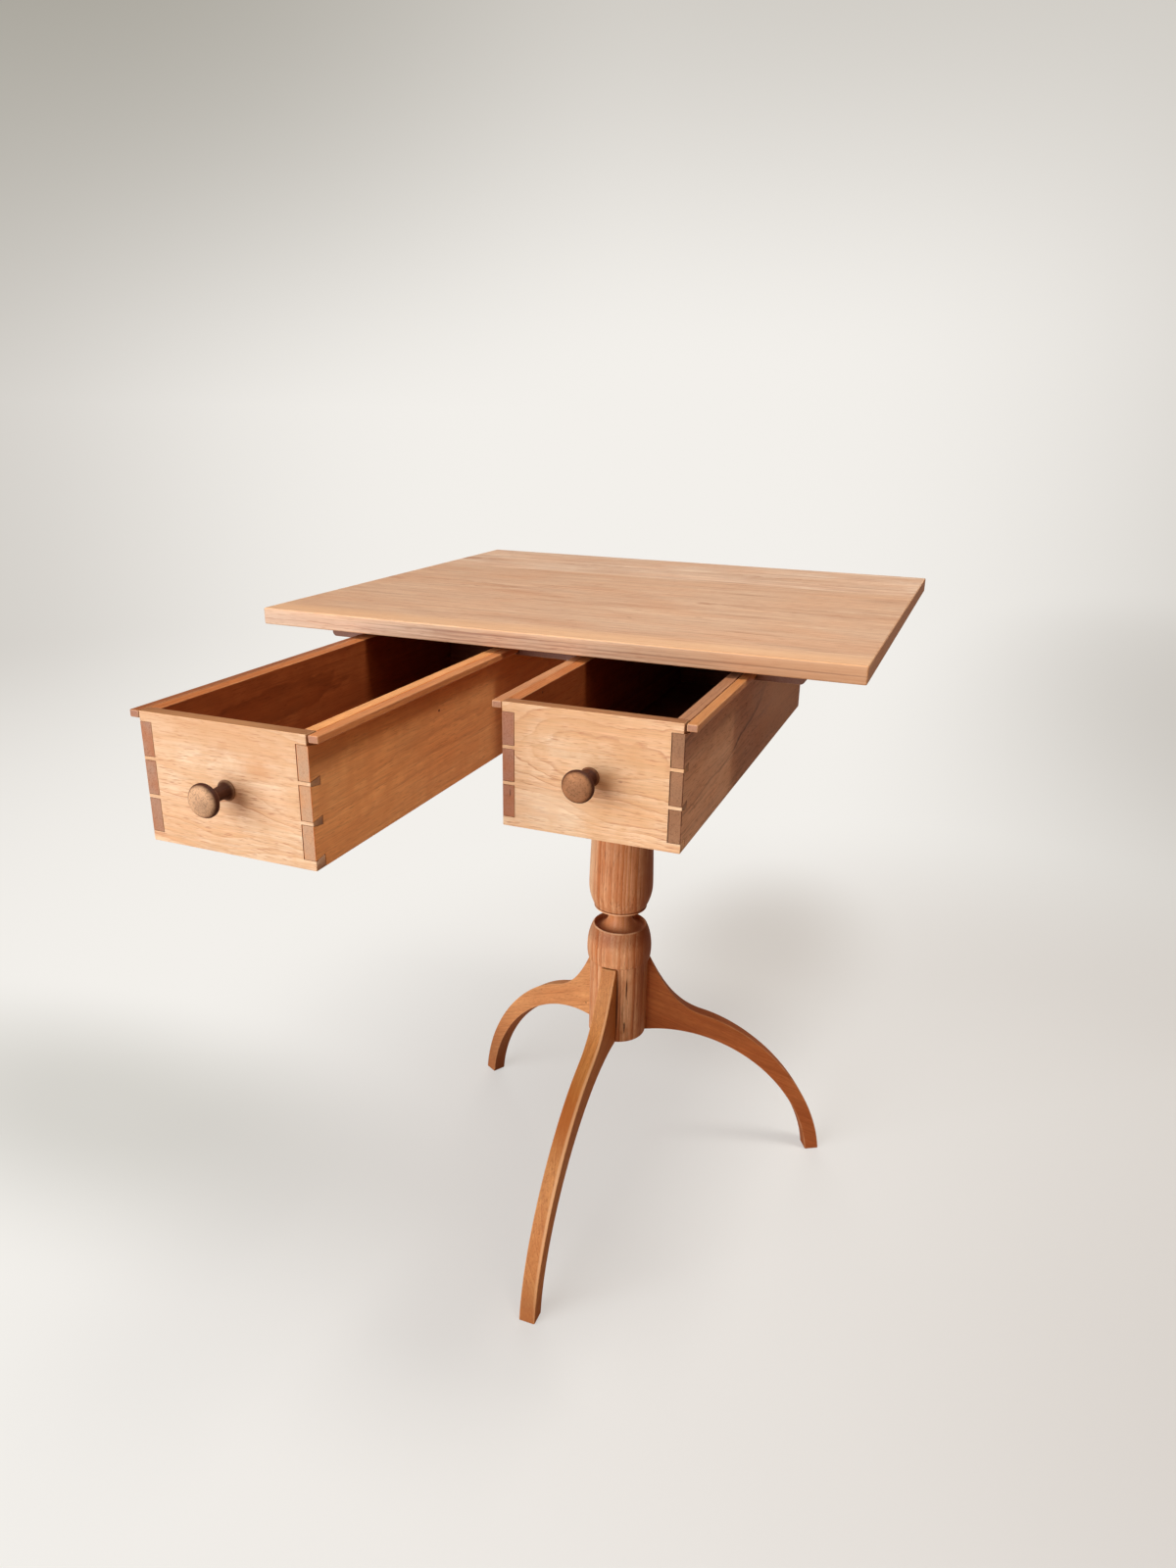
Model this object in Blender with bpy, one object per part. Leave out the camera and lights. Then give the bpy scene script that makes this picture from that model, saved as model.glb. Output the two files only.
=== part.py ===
# A tripod sewing stand: a turned post on three curved legs carries a flat top,
# and two dovetailed drawers hang side by side from cleats under that top.
# Metres, +Z up, the drawers open towards -Y. The origin is the middle of the standing
# object's outline on the floor, with both drawers pulled out as far as they are shown.

from math import cos, pi, radians, sin, sqrt

import bmesh
import bpy

# Top
STAND_HEIGHT = 0.6675
TOP_WIDTH = 0.508
TOP_DEPTH = 0.452
TOP_THICKNESS = 0.014
TOP_EDGE_ROUND = 0.0012

# Drawers
DRAWER_WIDTH = 0.127
DRAWER_LENGTH = 0.399
DRAWER_HEIGHT = 0.088
DRAWER_SPACING = 0.070
DRAWER_DROP = 0.0047
SIDE_THICKNESS = 0.0088
FRONT_THICKNESS = 0.0097
BACK_THICKNESS = 0.0088
BACK_RABBET = 0.0045
BOTTOM_THICKNESS = 0.005
BOTTOM_RISE = 0.009
BOTTOM_GROOVE = 0.004
STRIP_WIDTH = 0.0072
STRIP_HEIGHT = 0.005
STRIP_EDGE_ROUND = 0.0006
DRAWER_SETBACK = 0.0265
LEFT_PULL = 0.2713
RIGHT_PULL = 0.1542

# Dovetails at the drawer fronts
TAIL_COUNT = 3
HALF_PIN = 0.007
PIN_HEIGHT = 0.003
DOVETAIL_SLOPE = 1 / 6

# Knobs
KNOB_LENGTH = 0.026
KNOB_HEAD_RADIUS = 0.0112
KNOB_RIM = 0.0012
KNOB_DOME = 0.0048
KNOB_NECK_RADIUS = 0.0044
KNOB_BASE_RADIUS = 0.0071
KNOB_NECK_REACH = 0.0105
KNOB_TENON_RADIUS = 0.004
KNOB_DOME_PULL = (0.9, 0.5)

# Cleats that the drawers hang from
HANGER_SETBACK = 0.031
HANGER_OUTER_WIDTH = 0.036
HANGER_LIP = 0.0018
HANGER_CORNER_ROUND = 0.004
SCREW_PITCH = 0.150

# Wood screws through the cleats
SCREW_HEAD_RADIUS = 0.004
SCREW_HEAD_DEPTH = 0.0028
SCREW_SHANK_RADIUS = 0.002
SCREW_BITE = 0.008
SCREW_TIP = 0.003
SCREW_SLOT_WIDTH = 0.0009
SCREW_SLOT_DEPTH = 0.0012

# Legs
LEG_NAMES = ("front_leg", "right_leg", "left_leg")
LEG_TURN = radians(0.8)
LEG_THICKNESS = 0.0164
LEG_REACH = 0.2489
LEG_EDGE_ROUND = 0.001
FOOT_DEPTH = 0.0163
ARCH_HEIGHT = 0.183
ARCH_HANDLE = 0.093
FOOT_INNER_HANDLE = 0.093
FOOT_INNER_LEAN = radians(83)
KNEE_RADIUS = 0.0989
KNEE_RISE = 0.0117
KNEE_SLOPE = radians(23.1)
KNEE_UPPER_HANDLE = 0.0319
KNEE_LOWER_HANDLE = 0.073
FOOT_OUTER_HANDLE = 0.0844
FOOT_OUTER_LEAN = radians(83.3)
LEG_JOINT_HEIGHT = 0.0898
LEG_TOP_HANDLE = 0.0448
LEG_TOP_LEAN = radians(65.6)
LEG_TOP_PROUD = 0.0024
LEG_HOUSING = 0.0006
KEY_NECK = 0.0070
KEY_WIDTH = 0.0100
KEY_DEPTH = 0.009
KEY_TOP_SHY = 0.012

# Post, from its flat bottom upwards
POST_BOTTOM_RISE = 0.0005
DRUM_RADIUS = 0.0310
DRUM_CHAMFER = 0.0008
BULB_SEAT_RADIUS = 0.0332
BULB_SEAT_ROUND = 0.0010
BULB_RADIUS = 0.03435
BULB_HEIGHT = 0.0397
BULB_PULL = (0.25, 0.68)
RIM_RADIUS = 0.0290
RIM_THICKNESS = 0.0014
CUP_PULL = 0.0095
COVE_RISE = 0.0100
NECK_RADIUS = 0.0125
NECK_HEIGHT = 0.0209
VASE_LIP_RADIUS = 0.0280
VASE_LIP_HEIGHT = 0.0022
VASE_LIP_STEP = 0.0009
VASE_RADIUS = 0.0338
VASE_BELLY_HEIGHT = 0.0246
VASE_BELLY_PULL = (0.4, 0.55)
VASE_HANDLE = 0.028
VASE_SWELL = 0.005
VASE_TOP_PULL = 0.43
POST_TOP_RADIUS = 0.023
POST_TENON_RADIUS = 0.013

# Fits
GAP = 0.0003
RUN_CLEARANCE = 0.0003
STRIP_SIDE_CLEARANCE = 0.0009
LIP_CLEARANCE = 0.0008
CUT_OVERRUN = 0.002

# Roundness of the faceted shapes
CURVE_STEPS = 10
CORNER_STEPS = 4
POST_STEPS = 36
KNOB_STEPS = 24
SCREW_STEPS = 12

# Heights that follow from the sizes above
TOP_UNDERSIDE = STAND_HEIGHT - TOP_THICKNESS
DRAWER_TOP = TOP_UNDERSIDE - DRAWER_DROP
DRAWER_BOTTOM = DRAWER_TOP - DRAWER_HEIGHT
LIP_TOP = DRAWER_TOP - STRIP_HEIGHT - RUN_CLEARANCE
HANGER_BOTTOM = LIP_TOP - HANGER_LIP
HANGER_TOP = TOP_UNDERSIDE - GAP
POST_BOTTOM = ARCH_HEIGHT + POST_BOTTOM_RISE
LEG_TOP = ARCH_HEIGHT + LEG_JOINT_HEIGHT
POST_TOP = HANGER_BOTTOM - GAP

# Places that follow from the sizes above
INNER_FACE = DRAWER_SPACING / 2
OUTER_FACE = INNER_FACE + DRAWER_WIDTH
STRIP_REACH = GAP + STRIP_WIDTH
HANGER_FRONT = TOP_DEPTH / 2 - HANGER_SETBACK
LEG_SHOULDER = sqrt(DRUM_RADIUS ** 2 - (LEG_THICKNESS / 2) ** 2) - LEG_HOUSING
CLOSED_FRONT = DRAWER_SETBACK - TOP_DEPTH / 2
LEFT_FRONT = CLOSED_FRONT - LEFT_PULL
RIGHT_FRONT = CLOSED_FRONT - RIGHT_PULL
FRONT_MOST = min(LEFT_FRONT - KNOB_LENGTH, RIGHT_FRONT - KNOB_LENGTH, -TOP_DEPTH / 2, -LEG_REACH)
POST_PLACE = -(FRONT_MOST + TOP_DEPTH / 2) / 2


# Scene helpers

def clear_scene():
    for item in list(bpy.data.objects):
        bpy.data.objects.remove(item, do_unlink=True)


def material(name, colour, roughness, metallic=0.0):
    made = bpy.data.materials.new(name)
    made.use_nodes = True
    shader = made.node_tree.nodes["Principled BSDF"]
    shader.inputs["Base Color"].default_value = (*colour, 1.0)
    shader.inputs["Roughness"].default_value = roughness
    shader.inputs["Metallic"].default_value = metallic
    return made


def empty(name, place, parent=None):
    made = bpy.data.objects.new(name, None)
    bpy.context.scene.collection.objects.link(made)
    made.parent = parent
    made.location = place
    return made


def add(name, mesh, parent, finish=None, place=(0, 0, 0), turn=(0, 0, 0)):
    made = bpy.data.objects.new(name, mesh)
    bpy.context.scene.collection.objects.link(made)
    made.parent = parent
    made.location = place
    made.rotation_euler = turn
    if finish:
        mesh.materials.append(finish)
    else:
        made.hide_render = True
        made.display_type = "WIRE"
    return made


def boolean(target, tool, operation="DIFFERENCE"):
    step = target.modifiers.new(tool.name, "BOOLEAN")
    step.operation = operation
    step.solver = "EXACT"
    step.object = tool


def ease(target, width, segments=2):
    step = target.modifiers.new("Eased edges", "BEVEL")
    step.width = width
    step.segments = segments
    step.limit_method = "ANGLE"
    step.angle_limit = radians(50)


# Mesh helpers

def finish_mesh(name, shape):
    bmesh.ops.recalc_face_normals(shape, faces=shape.faces)
    mesh = bpy.data.meshes.new(name)
    shape.to_mesh(mesh)
    shape.free()
    return mesh


def prism(name, outlines, low, high, spread):
    # Closed outlines, pushed from low to high; spread turns (a, b, along) into a point.
    shape = bmesh.new()
    for outline in outlines:
        cap = shape.faces.new([shape.verts.new(spread(a, b, low)) for a, b in outline])
        grown = bmesh.ops.extrude_face_region(shape, geom=[cap])["geom"]
        moved = [item for item in grown if isinstance(item, bmesh.types.BMVert)]
        start, end = spread(0, 0, low), spread(0, 0, high)
        bmesh.ops.translate(shape, verts=moved, vec=[e - s for s, e in zip(start, end)])
    return finish_mesh(name, shape)


def along_x(a, b, along):
    return (along, a, b)


def along_y(a, b, along):
    return (a, along, b)


def along_z(a, b, along):
    return (a, b, along)


def block(name, x, y, z):
    corners = [(x[0], y[0]), (x[1], y[0]), (x[1], y[1]), (x[0], y[1])]
    return prism(name, [corners], z[0], z[1], along_z)


def turned(name, profile, parent, finish, steps, place=(0, 0, 0), turn=(0, 0, 0)):
    # Profile points are (radius, height) from the lowest to the highest.
    mesh = bpy.data.meshes.new(name)
    points = [(radius, 0, height) for radius, height in reversed(profile)]
    mesh.from_pydata(points, [(i, i + 1) for i in range(len(points) - 1)], [])
    made = add(name, mesh, parent, finish, place, turn)
    step = made.modifiers.new("Turned", "SCREW")
    step.angle = 2 * pi
    step.steps = steps
    step.render_steps = steps
    step.use_merge_vertices = True
    step.merge_threshold = 0.00001
    step.use_smooth_shade = True
    return made


def bezier(start, first, second, end, steps=CURVE_STEPS):
    # Points of a cubic curve after its start, up to and with its end.
    points = []
    for i in range(1, steps + 1):
        t = i / steps
        u = 1 - t
        weights = (u ** 3, 3 * u * u * t, 3 * u * t * t, t ** 3)
        controls = (start, first, second, end)
        points.append(tuple(sum(w * c[k] for w, c in zip(weights, controls)) for k in (0, 1)))
    return points


def arc(centre, radius, start, end, steps=CORNER_STEPS):
    angles = [start + (end - start) * i / steps for i in range(steps + 1)]
    return [(centre[0] + radius * cos(a), centre[1] + radius * sin(a)) for a in angles]


# Screws

def screw_profile(spare, head_overrun):
    # From the flat head at the cleat's underside up to the tip; spare widens it to a hole.
    neck = SCREW_HEAD_DEPTH + SCREW_HEAD_RADIUS - SCREW_SHANK_RADIUS
    head = [(0, -head_overrun), (SCREW_HEAD_RADIUS + spare, -head_overrun)]
    cone = [(SCREW_HEAD_RADIUS + spare, SCREW_HEAD_DEPTH / 4), (SCREW_SHANK_RADIUS + spare, neck)]
    length = TOP_UNDERSIDE - HANGER_BOTTOM + SCREW_BITE
    shank = [(SCREW_SHANK_RADIUS + spare, length - SCREW_TIP)]
    tip = [(SCREW_SHANK_RADIUS / 4 + spare, length + spare), (0, length + spare)]
    return head + cone + shank + tip


def screw_rows(name):
    # The post's tenon takes the middle place in the centre cleat.
    middle = [] if name == "centre_hanger" else [0]
    return [-SCREW_PITCH, *middle, SCREW_PITCH]


# Top and cleats

def make_top(stand, finish):
    half_width, half_depth = TOP_WIDTH / 2, TOP_DEPTH / 2
    mesh = block("top", (-half_width, half_width), (-half_depth, half_depth), (TOP_UNDERSIDE, STAND_HEIGHT))
    top = add("top", mesh, stand, finish)
    ease(top, TOP_EDGE_ROUND)
    return top


def outer_hanger_outline(side):
    slot = OUTER_FACE + STRIP_REACH + STRIP_SIDE_CLEARANCE
    outer = slot + HANGER_OUTER_WIDTH
    lip = OUTER_FACE + LIP_CLEARANCE
    corner = (outer - HANGER_CORNER_ROUND, HANGER_BOTTOM + HANGER_CORNER_ROUND)
    points = [(slot, HANGER_TOP), (slot, LIP_TOP), (lip, LIP_TOP), (lip, HANGER_BOTTOM)]
    points += arc(corner, HANGER_CORNER_ROUND, -pi / 2, 0)
    points.append((outer, HANGER_TOP))
    return [(side * x, z) for x, z in points], side * (slot + outer) / 2


def centre_hanger_outline():
    slot = INNER_FACE - STRIP_REACH - STRIP_SIDE_CLEARANCE
    lip = INNER_FACE - LIP_CLEARANCE
    half = [(lip, HANGER_BOTTOM), (lip, LIP_TOP), (slot, LIP_TOP), (slot, HANGER_TOP)]
    return half + [(-x, z) for x, z in reversed(half)]


def make_hanger(name, outline, screw_line, stand, finish, steel, top):
    mesh = prism(name, [outline], -HANGER_FRONT, HANGER_FRONT, along_y)
    hanger = add(name, mesh, stand, finish)
    for number, row in enumerate(screw_rows(name), 1):
        place = (screw_line, row, HANGER_BOTTOM)
        screw = turned(f"{name}_screw_{number}", screw_profile(0, -GAP), stand, steel, SCREW_STEPS, place)
        slot_half = SCREW_SLOT_WIDTH / 2
        reach = SCREW_HEAD_RADIUS + CUT_OVERRUN
        slot = block("slot", (-slot_half, slot_half), (-reach, reach), (-CUT_OVERRUN, GAP + SCREW_SLOT_DEPTH))
        boolean(screw, add(f"{screw.name}_slot", slot, stand, place=place))
        hole = turned(f"{screw.name}_hole", screw_profile(GAP, CUT_OVERRUN), stand, None, SCREW_STEPS, place)
        boolean(hanger, hole)
        boolean(top, hole)
    return hanger


# Post

def post_profile():
    seat_height = LEG_TOP + GAP
    rim_height = LEG_TOP + BULB_HEIGHT
    lip_start = rim_height + NECK_HEIGHT
    lip_end = lip_start + VASE_LIP_HEIGHT
    belly = lip_end + VASE_BELLY_HEIGHT
    tenon_end = HANGER_TOP - GAP

    # The drum that the legs join, and the step out to the bulb
    points = [(0, POST_BOTTOM), (DRUM_RADIUS - DRUM_CHAMFER, POST_BOTTOM)]
    points += [(DRUM_RADIUS, POST_BOTTOM + DRUM_CHAMFER), (DRUM_RADIUS, LEG_TOP)]
    points.append((BULB_SEAT_RADIUS - BULB_SEAT_ROUND, seat_height))

    # The bulb up to its thin rim, pulled out so that its middle reaches the bulb's radius
    seat, rim = (BULB_SEAT_RADIUS, seat_height + BULB_SEAT_ROUND), (RIM_RADIUS, rim_height)
    pulled = (BULB_RADIUS - (BULB_SEAT_RADIUS + RIM_RADIUS) / 8) * 4 / 3
    low_pull, high_pull = [(pulled, LEG_TOP + share * BULB_HEIGHT) for share in BULB_PULL]
    points += [seat] + bezier(seat, low_pull, high_pull, rim)

    # The shallow cup inside the rim, in one curve with the cove that rises to the neck
    cup = (RIM_RADIUS - RIM_THICKNESS, rim_height + RIM_THICKNESS)
    neck = (NECK_RADIUS, rim_height + COVE_RISE)
    points += [cup] + bezier(cup, (cup[0], rim_height - CUP_PULL), (NECK_RADIUS, rim_height), neck)
    points.append((NECK_RADIUS, lip_start))

    # The vase: a rounded lower lip, a step in to the belly and the long taper to the top
    half_lip = VASE_LIP_HEIGHT / 2
    points += [(VASE_LIP_RADIUS - half_lip, lip_start), (VASE_LIP_RADIUS, lip_start + half_lip)]
    points.append((VASE_LIP_RADIUS, lip_end))
    start, rise = (VASE_LIP_RADIUS - VASE_LIP_STEP, lip_end), VASE_BELLY_HEIGHT
    widen = VASE_RADIUS - start[0]
    points += [start] + bezier(start, (start[0] + VASE_BELLY_PULL[0] * widen, lip_end + rise / 5),
                               (VASE_RADIUS, lip_end + VASE_BELLY_PULL[1] * rise), (VASE_RADIUS, belly))
    points += bezier((VASE_RADIUS, belly), (VASE_RADIUS, belly + VASE_HANDLE),
                     (POST_TOP_RADIUS + VASE_SWELL, POST_TOP - VASE_TOP_PULL * (POST_TOP - belly)),
                     (POST_TOP_RADIUS, POST_TOP))
    return points + [(POST_TENON_RADIUS, POST_TOP), (POST_TENON_RADIUS, tenon_end), (0, tenon_end)]


def key_outline(spare):
    # Plan of a leg's dovetail key, measured out from the post's axis along +X.
    root = LEG_SHOULDER + CUT_OVERRUN
    tip = LEG_SHOULDER + GAP - KEY_DEPTH
    lean = (KEY_WIDTH - KEY_NECK) / 2 / KEY_DEPTH
    neck = KEY_NECK / 2 - lean * (CUT_OVERRUN - GAP) + spare
    wide = KEY_WIDTH / 2 + lean * spare + spare
    return [(root, -neck), (root, neck), (tip - spare, wide), (tip - spare, -wide)]


def leg_angles():
    step = 2 * pi / len(LEG_NAMES)
    return [LEG_TURN - pi / 2 + step * i for i in range(len(LEG_NAMES))]


def make_post(stand, finish, hanger):
    post = turned("post", post_profile(), stand, finish, POST_STEPS)
    low = POST_BOTTOM - CUT_OVERRUN
    housing_half = LEG_THICKNESS / 2 + GAP
    for number, angle in enumerate(leg_angles(), 1):
        key_top = LEG_TOP - KEY_TOP_SHY + GAP
        slot = prism("key_slot", [key_outline(GAP)], low, key_top, along_z)
        boolean(post, add(f"post_key_slot_{number}", slot, stand, turn=(0, 0, angle)))
        pad = block("housing", (LEG_SHOULDER, BULB_RADIUS), (-housing_half, housing_half), (low, LEG_TOP))
        boolean(post, add(f"post_housing_{number}", pad, stand, turn=(0, 0, angle)))
    bore_radius = POST_TENON_RADIUS + GAP
    bore = [(0, HANGER_BOTTOM - CUT_OVERRUN), (bore_radius, HANGER_BOTTOM - CUT_OVERRUN),
            (bore_radius, HANGER_TOP + CUT_OVERRUN), (0, HANGER_TOP + CUT_OVERRUN)]
    boolean(hanger, turned("post_tenon_bore", bore, stand, None, POST_STEPS))
    return post


# Legs

def leg_outline():
    shoulder = LEG_SHOULDER + GAP
    top = (DRUM_RADIUS + LEG_TOP_PROUD, LEG_TOP - GAP)
    knee = (KNEE_RADIUS, ARCH_HEIGHT + KNEE_RISE)
    toe, heel = (LEG_REACH, 0), (LEG_REACH - FOOT_DEPTH, 0)

    def handle(point, length, angle):
        return (point[0] + length * cos(angle), point[1] + length * sin(angle))

    points = [(shoulder, top[1]), top]
    points += bezier(top, handle(top, LEG_TOP_HANDLE, -LEG_TOP_LEAN),
                     handle(knee, KNEE_UPPER_HANDLE, pi - KNEE_SLOPE), knee)
    points += bezier(knee, handle(knee, KNEE_LOWER_HANDLE, -KNEE_SLOPE),
                     handle(toe, FOOT_OUTER_HANDLE, pi - FOOT_OUTER_LEAN), toe)
    points.append(heel)
    arch = (shoulder, ARCH_HEIGHT)
    points += bezier(heel, handle(heel, FOOT_INNER_HANDLE, pi - FOOT_INNER_LEAN),
                     handle(arch, ARCH_HANDLE, 0), arch)
    return points


def make_legs(stand, finish):
    half = LEG_THICKNESS / 2
    for name, angle in zip(LEG_NAMES, leg_angles()):
        mesh = prism(name, [leg_outline()], -half, half, along_y)
        mesh.shade_smooth()
        mesh.set_sharp_from_angle(angle=radians(30))
        leg = add(name, mesh, stand, finish, turn=(0, 0, angle))
        ease(leg, LEG_EDGE_ROUND)
        key = prism("key", [key_outline(0)], POST_BOTTOM, LEG_TOP - KEY_TOP_SHY, along_z)
        boolean(leg, add(f"{name}_key", key, stand, turn=(0, 0, angle)), "UNION")


# Drawers, in a frame whose origin is the middle of the front face's lower edge

def tail_edges():
    tail = (DRAWER_HEIGHT - 2 * HALF_PIN - (TAIL_COUNT - 1) * PIN_HEIGHT) / TAIL_COUNT
    lows = [HALF_PIN + i * (tail + PIN_HEIGHT) for i in range(TAIL_COUNT)]
    return [(low, low + tail) for low in lows]


def side_outline():
    shoulder = FRONT_THICKNESS + GAP
    flare = shoulder * DOVETAIL_SLOPE
    points = [(DRAWER_LENGTH, 0), (shoulder, 0)]
    for low, high in tail_edges():
        points += [(shoulder, low + flare), (0, low), (0, high), (shoulder, high - flare)]
    return points + [(shoulder, DRAWER_HEIGHT), (DRAWER_LENGTH, DRAWER_HEIGHT)]


def tail_sockets():
    # The tails' outlines grown by the gap and run past both faces of the front.
    start, end = -CUT_OVERRUN, FRONT_THICKNESS + CUT_OVERRUN
    sockets = []
    for low, high in tail_edges():
        low, high = low - GAP, high + GAP
        sockets.append([(start, low + start * DOVETAIL_SLOPE), (end, low + end * DOVETAIL_SLOPE),
                        (end, high - end * DOVETAIL_SLOPE), (start, high - start * DOVETAIL_SLOPE)])
    return sockets


def knob_profile():
    widest = KNOB_LENGTH - KNOB_DOME
    under = widest - KNOB_RIM
    tenon_end = -(FRONT_THICKNESS + GAP)
    base = (KNOB_BASE_RADIUS, GAP)
    neck = (KNOB_NECK_RADIUS, KNOB_NECK_REACH)
    points = [(0, tenon_end), (KNOB_TENON_RADIUS, tenon_end), (KNOB_TENON_RADIUS, GAP), base]
    points += bezier(base, (KNOB_NECK_RADIUS, KNOB_NECK_REACH / 4),
                     (KNOB_NECK_RADIUS, KNOB_NECK_REACH / 2), neck, 5)
    points += bezier(neck, (KNOB_NECK_RADIUS, (KNOB_NECK_REACH + under) / 2),
                     (KNOB_HEAD_RADIUS, under - KNOB_RIM), (KNOB_HEAD_RADIUS, under), 6)
    rim = (KNOB_HEAD_RADIUS, widest)
    shoulder = (KNOB_HEAD_RADIUS * KNOB_DOME_PULL[0], KNOB_LENGTH - KNOB_DOME / 4)
    crown = (KNOB_HEAD_RADIUS * KNOB_DOME_PULL[1], KNOB_LENGTH)
    return points + [rim] + bezier(rim, shoulder, crown, (0, KNOB_LENGTH), 6)


def make_drawer(name, place, stand, looks):
    drawer = empty(name, place, stand)
    half = DRAWER_WIDTH / 2
    inner = half - SIDE_THICKNESS
    panel_top = BOTTOM_RISE + BOTTOM_THICKNESS
    panel_half = inner + BOTTOM_GROOVE - GAP
    panel_front = FRONT_THICKNESS - BOTTOM_GROOVE + GAP
    back_front = DRAWER_LENGTH - BACK_THICKNESS
    back_half = inner + BACK_RABBET - GAP
    rear = DRAWER_LENGTH + CUT_OVERRUN

    groove = block("groove", (-panel_half - GAP, panel_half + GAP), (panel_front - GAP, rear),
                   (BOTTOM_RISE - GAP, panel_top + GAP))
    groove = add(f"{name}_groove", groove, drawer)
    rabbet = block("rabbet", (-back_half - GAP, back_half + GAP), (back_front - GAP, rear),
                   (panel_top, DRAWER_HEIGHT + CUT_OVERRUN))
    rabbet = add(f"{name}_rabbet", rabbet, drawer)

    for word, sign in (("left", -1), ("right", 1)):
        mesh = prism("side", [side_outline()], sign * half, sign * inner, along_x)
        side = add(f"{name}_{word}_side", mesh, drawer, looks["side"])
        boolean(side, groove)
        boolean(side, rabbet)
        strip_x = sorted((sign * (half + GAP), sign * (half + STRIP_REACH)))
        mesh = block("strip", strip_x, (0, DRAWER_LENGTH), (DRAWER_HEIGHT - STRIP_HEIGHT, DRAWER_HEIGHT))
        ease(add(f"{name}_{word}_strip", mesh, drawer, looks["strip"]), STRIP_EDGE_ROUND)

    mesh = block("front", (-half, half), (0, FRONT_THICKNESS), (0, DRAWER_HEIGHT))
    front = add(f"{name}_front", mesh, drawer, looks["front"])
    for word, sign in (("left", -1), ("right", 1)):
        sockets = prism("sockets", tail_sockets(), sign * (inner - GAP), sign * (half + CUT_OVERRUN), along_x)
        boolean(front, add(f"{name}_{word}_sockets", sockets, drawer))
    boolean(front, groove)
    knob_place = (0, 0, DRAWER_HEIGHT / 2)
    outwards = (pi / 2, 0, 0)
    hole_radius = KNOB_TENON_RADIUS + GAP
    hole_end = FRONT_THICKNESS + CUT_OVERRUN
    hole = [(0, -hole_end), (hole_radius, -hole_end), (hole_radius, CUT_OVERRUN), (0, CUT_OVERRUN)]
    boolean(front, turned(f"{name}_knob_hole", hole, drawer, None, KNOB_STEPS, knob_place, outwards))
    turned(f"{name}_knob", knob_profile(), drawer, looks["knob"], KNOB_STEPS, knob_place, outwards)

    mesh = block("back", (-back_half, back_half), (back_front, DRAWER_LENGTH),
                 (panel_top + GAP, DRAWER_HEIGHT))
    add(f"{name}_back", mesh, drawer, looks["side"])
    mesh = block("bottom", (-panel_half, panel_half), (panel_front, DRAWER_LENGTH), (BOTTOM_RISE, panel_top))
    add(f"{name}_bottom", mesh, drawer, looks["bottom"])


# The whole stand

def main():
    clear_scene()
    top_wood = material("Top cherry", (0.60, 0.42, 0.27), 0.45)
    hanger_wood = material("Cleat wood", (0.42, 0.29, 0.20), 0.6)
    post_wood = material("Turned cherry", (0.50, 0.27, 0.12), 0.42)
    steel = material("Screw steel", (0.45, 0.44, 0.42), 0.4, 1.0)
    looks = {
        "front": material("Drawer front cherry", (0.62, 0.41, 0.23), 0.45),
        "side": material("Drawer side cherry", (0.50, 0.33, 0.20), 0.5),
        "strip": material("Drawer strip cherry", (0.52, 0.32, 0.17), 0.5),
        "bottom": material("Drawer bottom wood", (0.45, 0.30, 0.19), 0.6),
        "knob": material("Knob wood", (0.33, 0.18, 0.09), 0.35),
    }

    stand = empty("stand", (0, POST_PLACE, 0))
    top = make_top(stand, top_wood)
    for name, side in (("left_hanger", -1), ("right_hanger", 1)):
        outline, screw_line = outer_hanger_outline(side)
        make_hanger(name, outline, screw_line, stand, hanger_wood, steel, top)
    centre = make_hanger("centre_hanger", centre_hanger_outline(), 0, stand, hanger_wood, steel, top)
    make_post(stand, post_wood, centre)
    make_legs(stand, post_wood)

    drawer_middle = INNER_FACE + DRAWER_WIDTH / 2
    make_drawer("left_drawer", (-drawer_middle, LEFT_FRONT, DRAWER_BOTTOM), stand, looks)
    make_drawer("right_drawer", (drawer_middle, RIGHT_FRONT, DRAWER_BOTTOM), stand, looks)


main()
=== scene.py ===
from math import cos, pi, radians, sin, sqrt

import bmesh
import bpy
from mathutils import Matrix, Vector


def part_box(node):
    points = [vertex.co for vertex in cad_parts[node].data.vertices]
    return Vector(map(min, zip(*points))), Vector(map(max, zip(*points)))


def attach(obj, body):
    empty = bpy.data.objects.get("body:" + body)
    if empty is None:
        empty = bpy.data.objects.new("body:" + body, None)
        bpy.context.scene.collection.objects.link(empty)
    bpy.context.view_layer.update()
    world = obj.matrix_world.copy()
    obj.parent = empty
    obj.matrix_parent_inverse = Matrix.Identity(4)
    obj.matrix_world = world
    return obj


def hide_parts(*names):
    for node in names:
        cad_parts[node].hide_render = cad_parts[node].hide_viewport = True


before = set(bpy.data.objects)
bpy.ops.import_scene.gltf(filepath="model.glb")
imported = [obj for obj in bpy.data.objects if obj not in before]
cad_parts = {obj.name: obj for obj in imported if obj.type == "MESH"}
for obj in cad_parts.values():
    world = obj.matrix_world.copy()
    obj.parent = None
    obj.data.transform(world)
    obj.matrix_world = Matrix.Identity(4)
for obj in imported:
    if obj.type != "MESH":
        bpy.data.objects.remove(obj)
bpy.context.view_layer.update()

scene = bpy.context.scene
scene.view_settings.view_transform = "Standard"
print("frame loaded,", len(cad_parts), "nodes")


# Node helpers

def feed(tree, socket, value):
    if isinstance(value, bpy.types.NodeSocket):
        tree.links.new(value, socket)
    else:
        socket.default_value = value


def put(tree, kind, inputs=None, **settings):
    node = tree.nodes.new(kind)
    for name, value in settings.items():
        setattr(node, name, value)
    for name, value in (inputs or {}).items():
        feed(tree, node.inputs[name], value)
    return node


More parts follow.
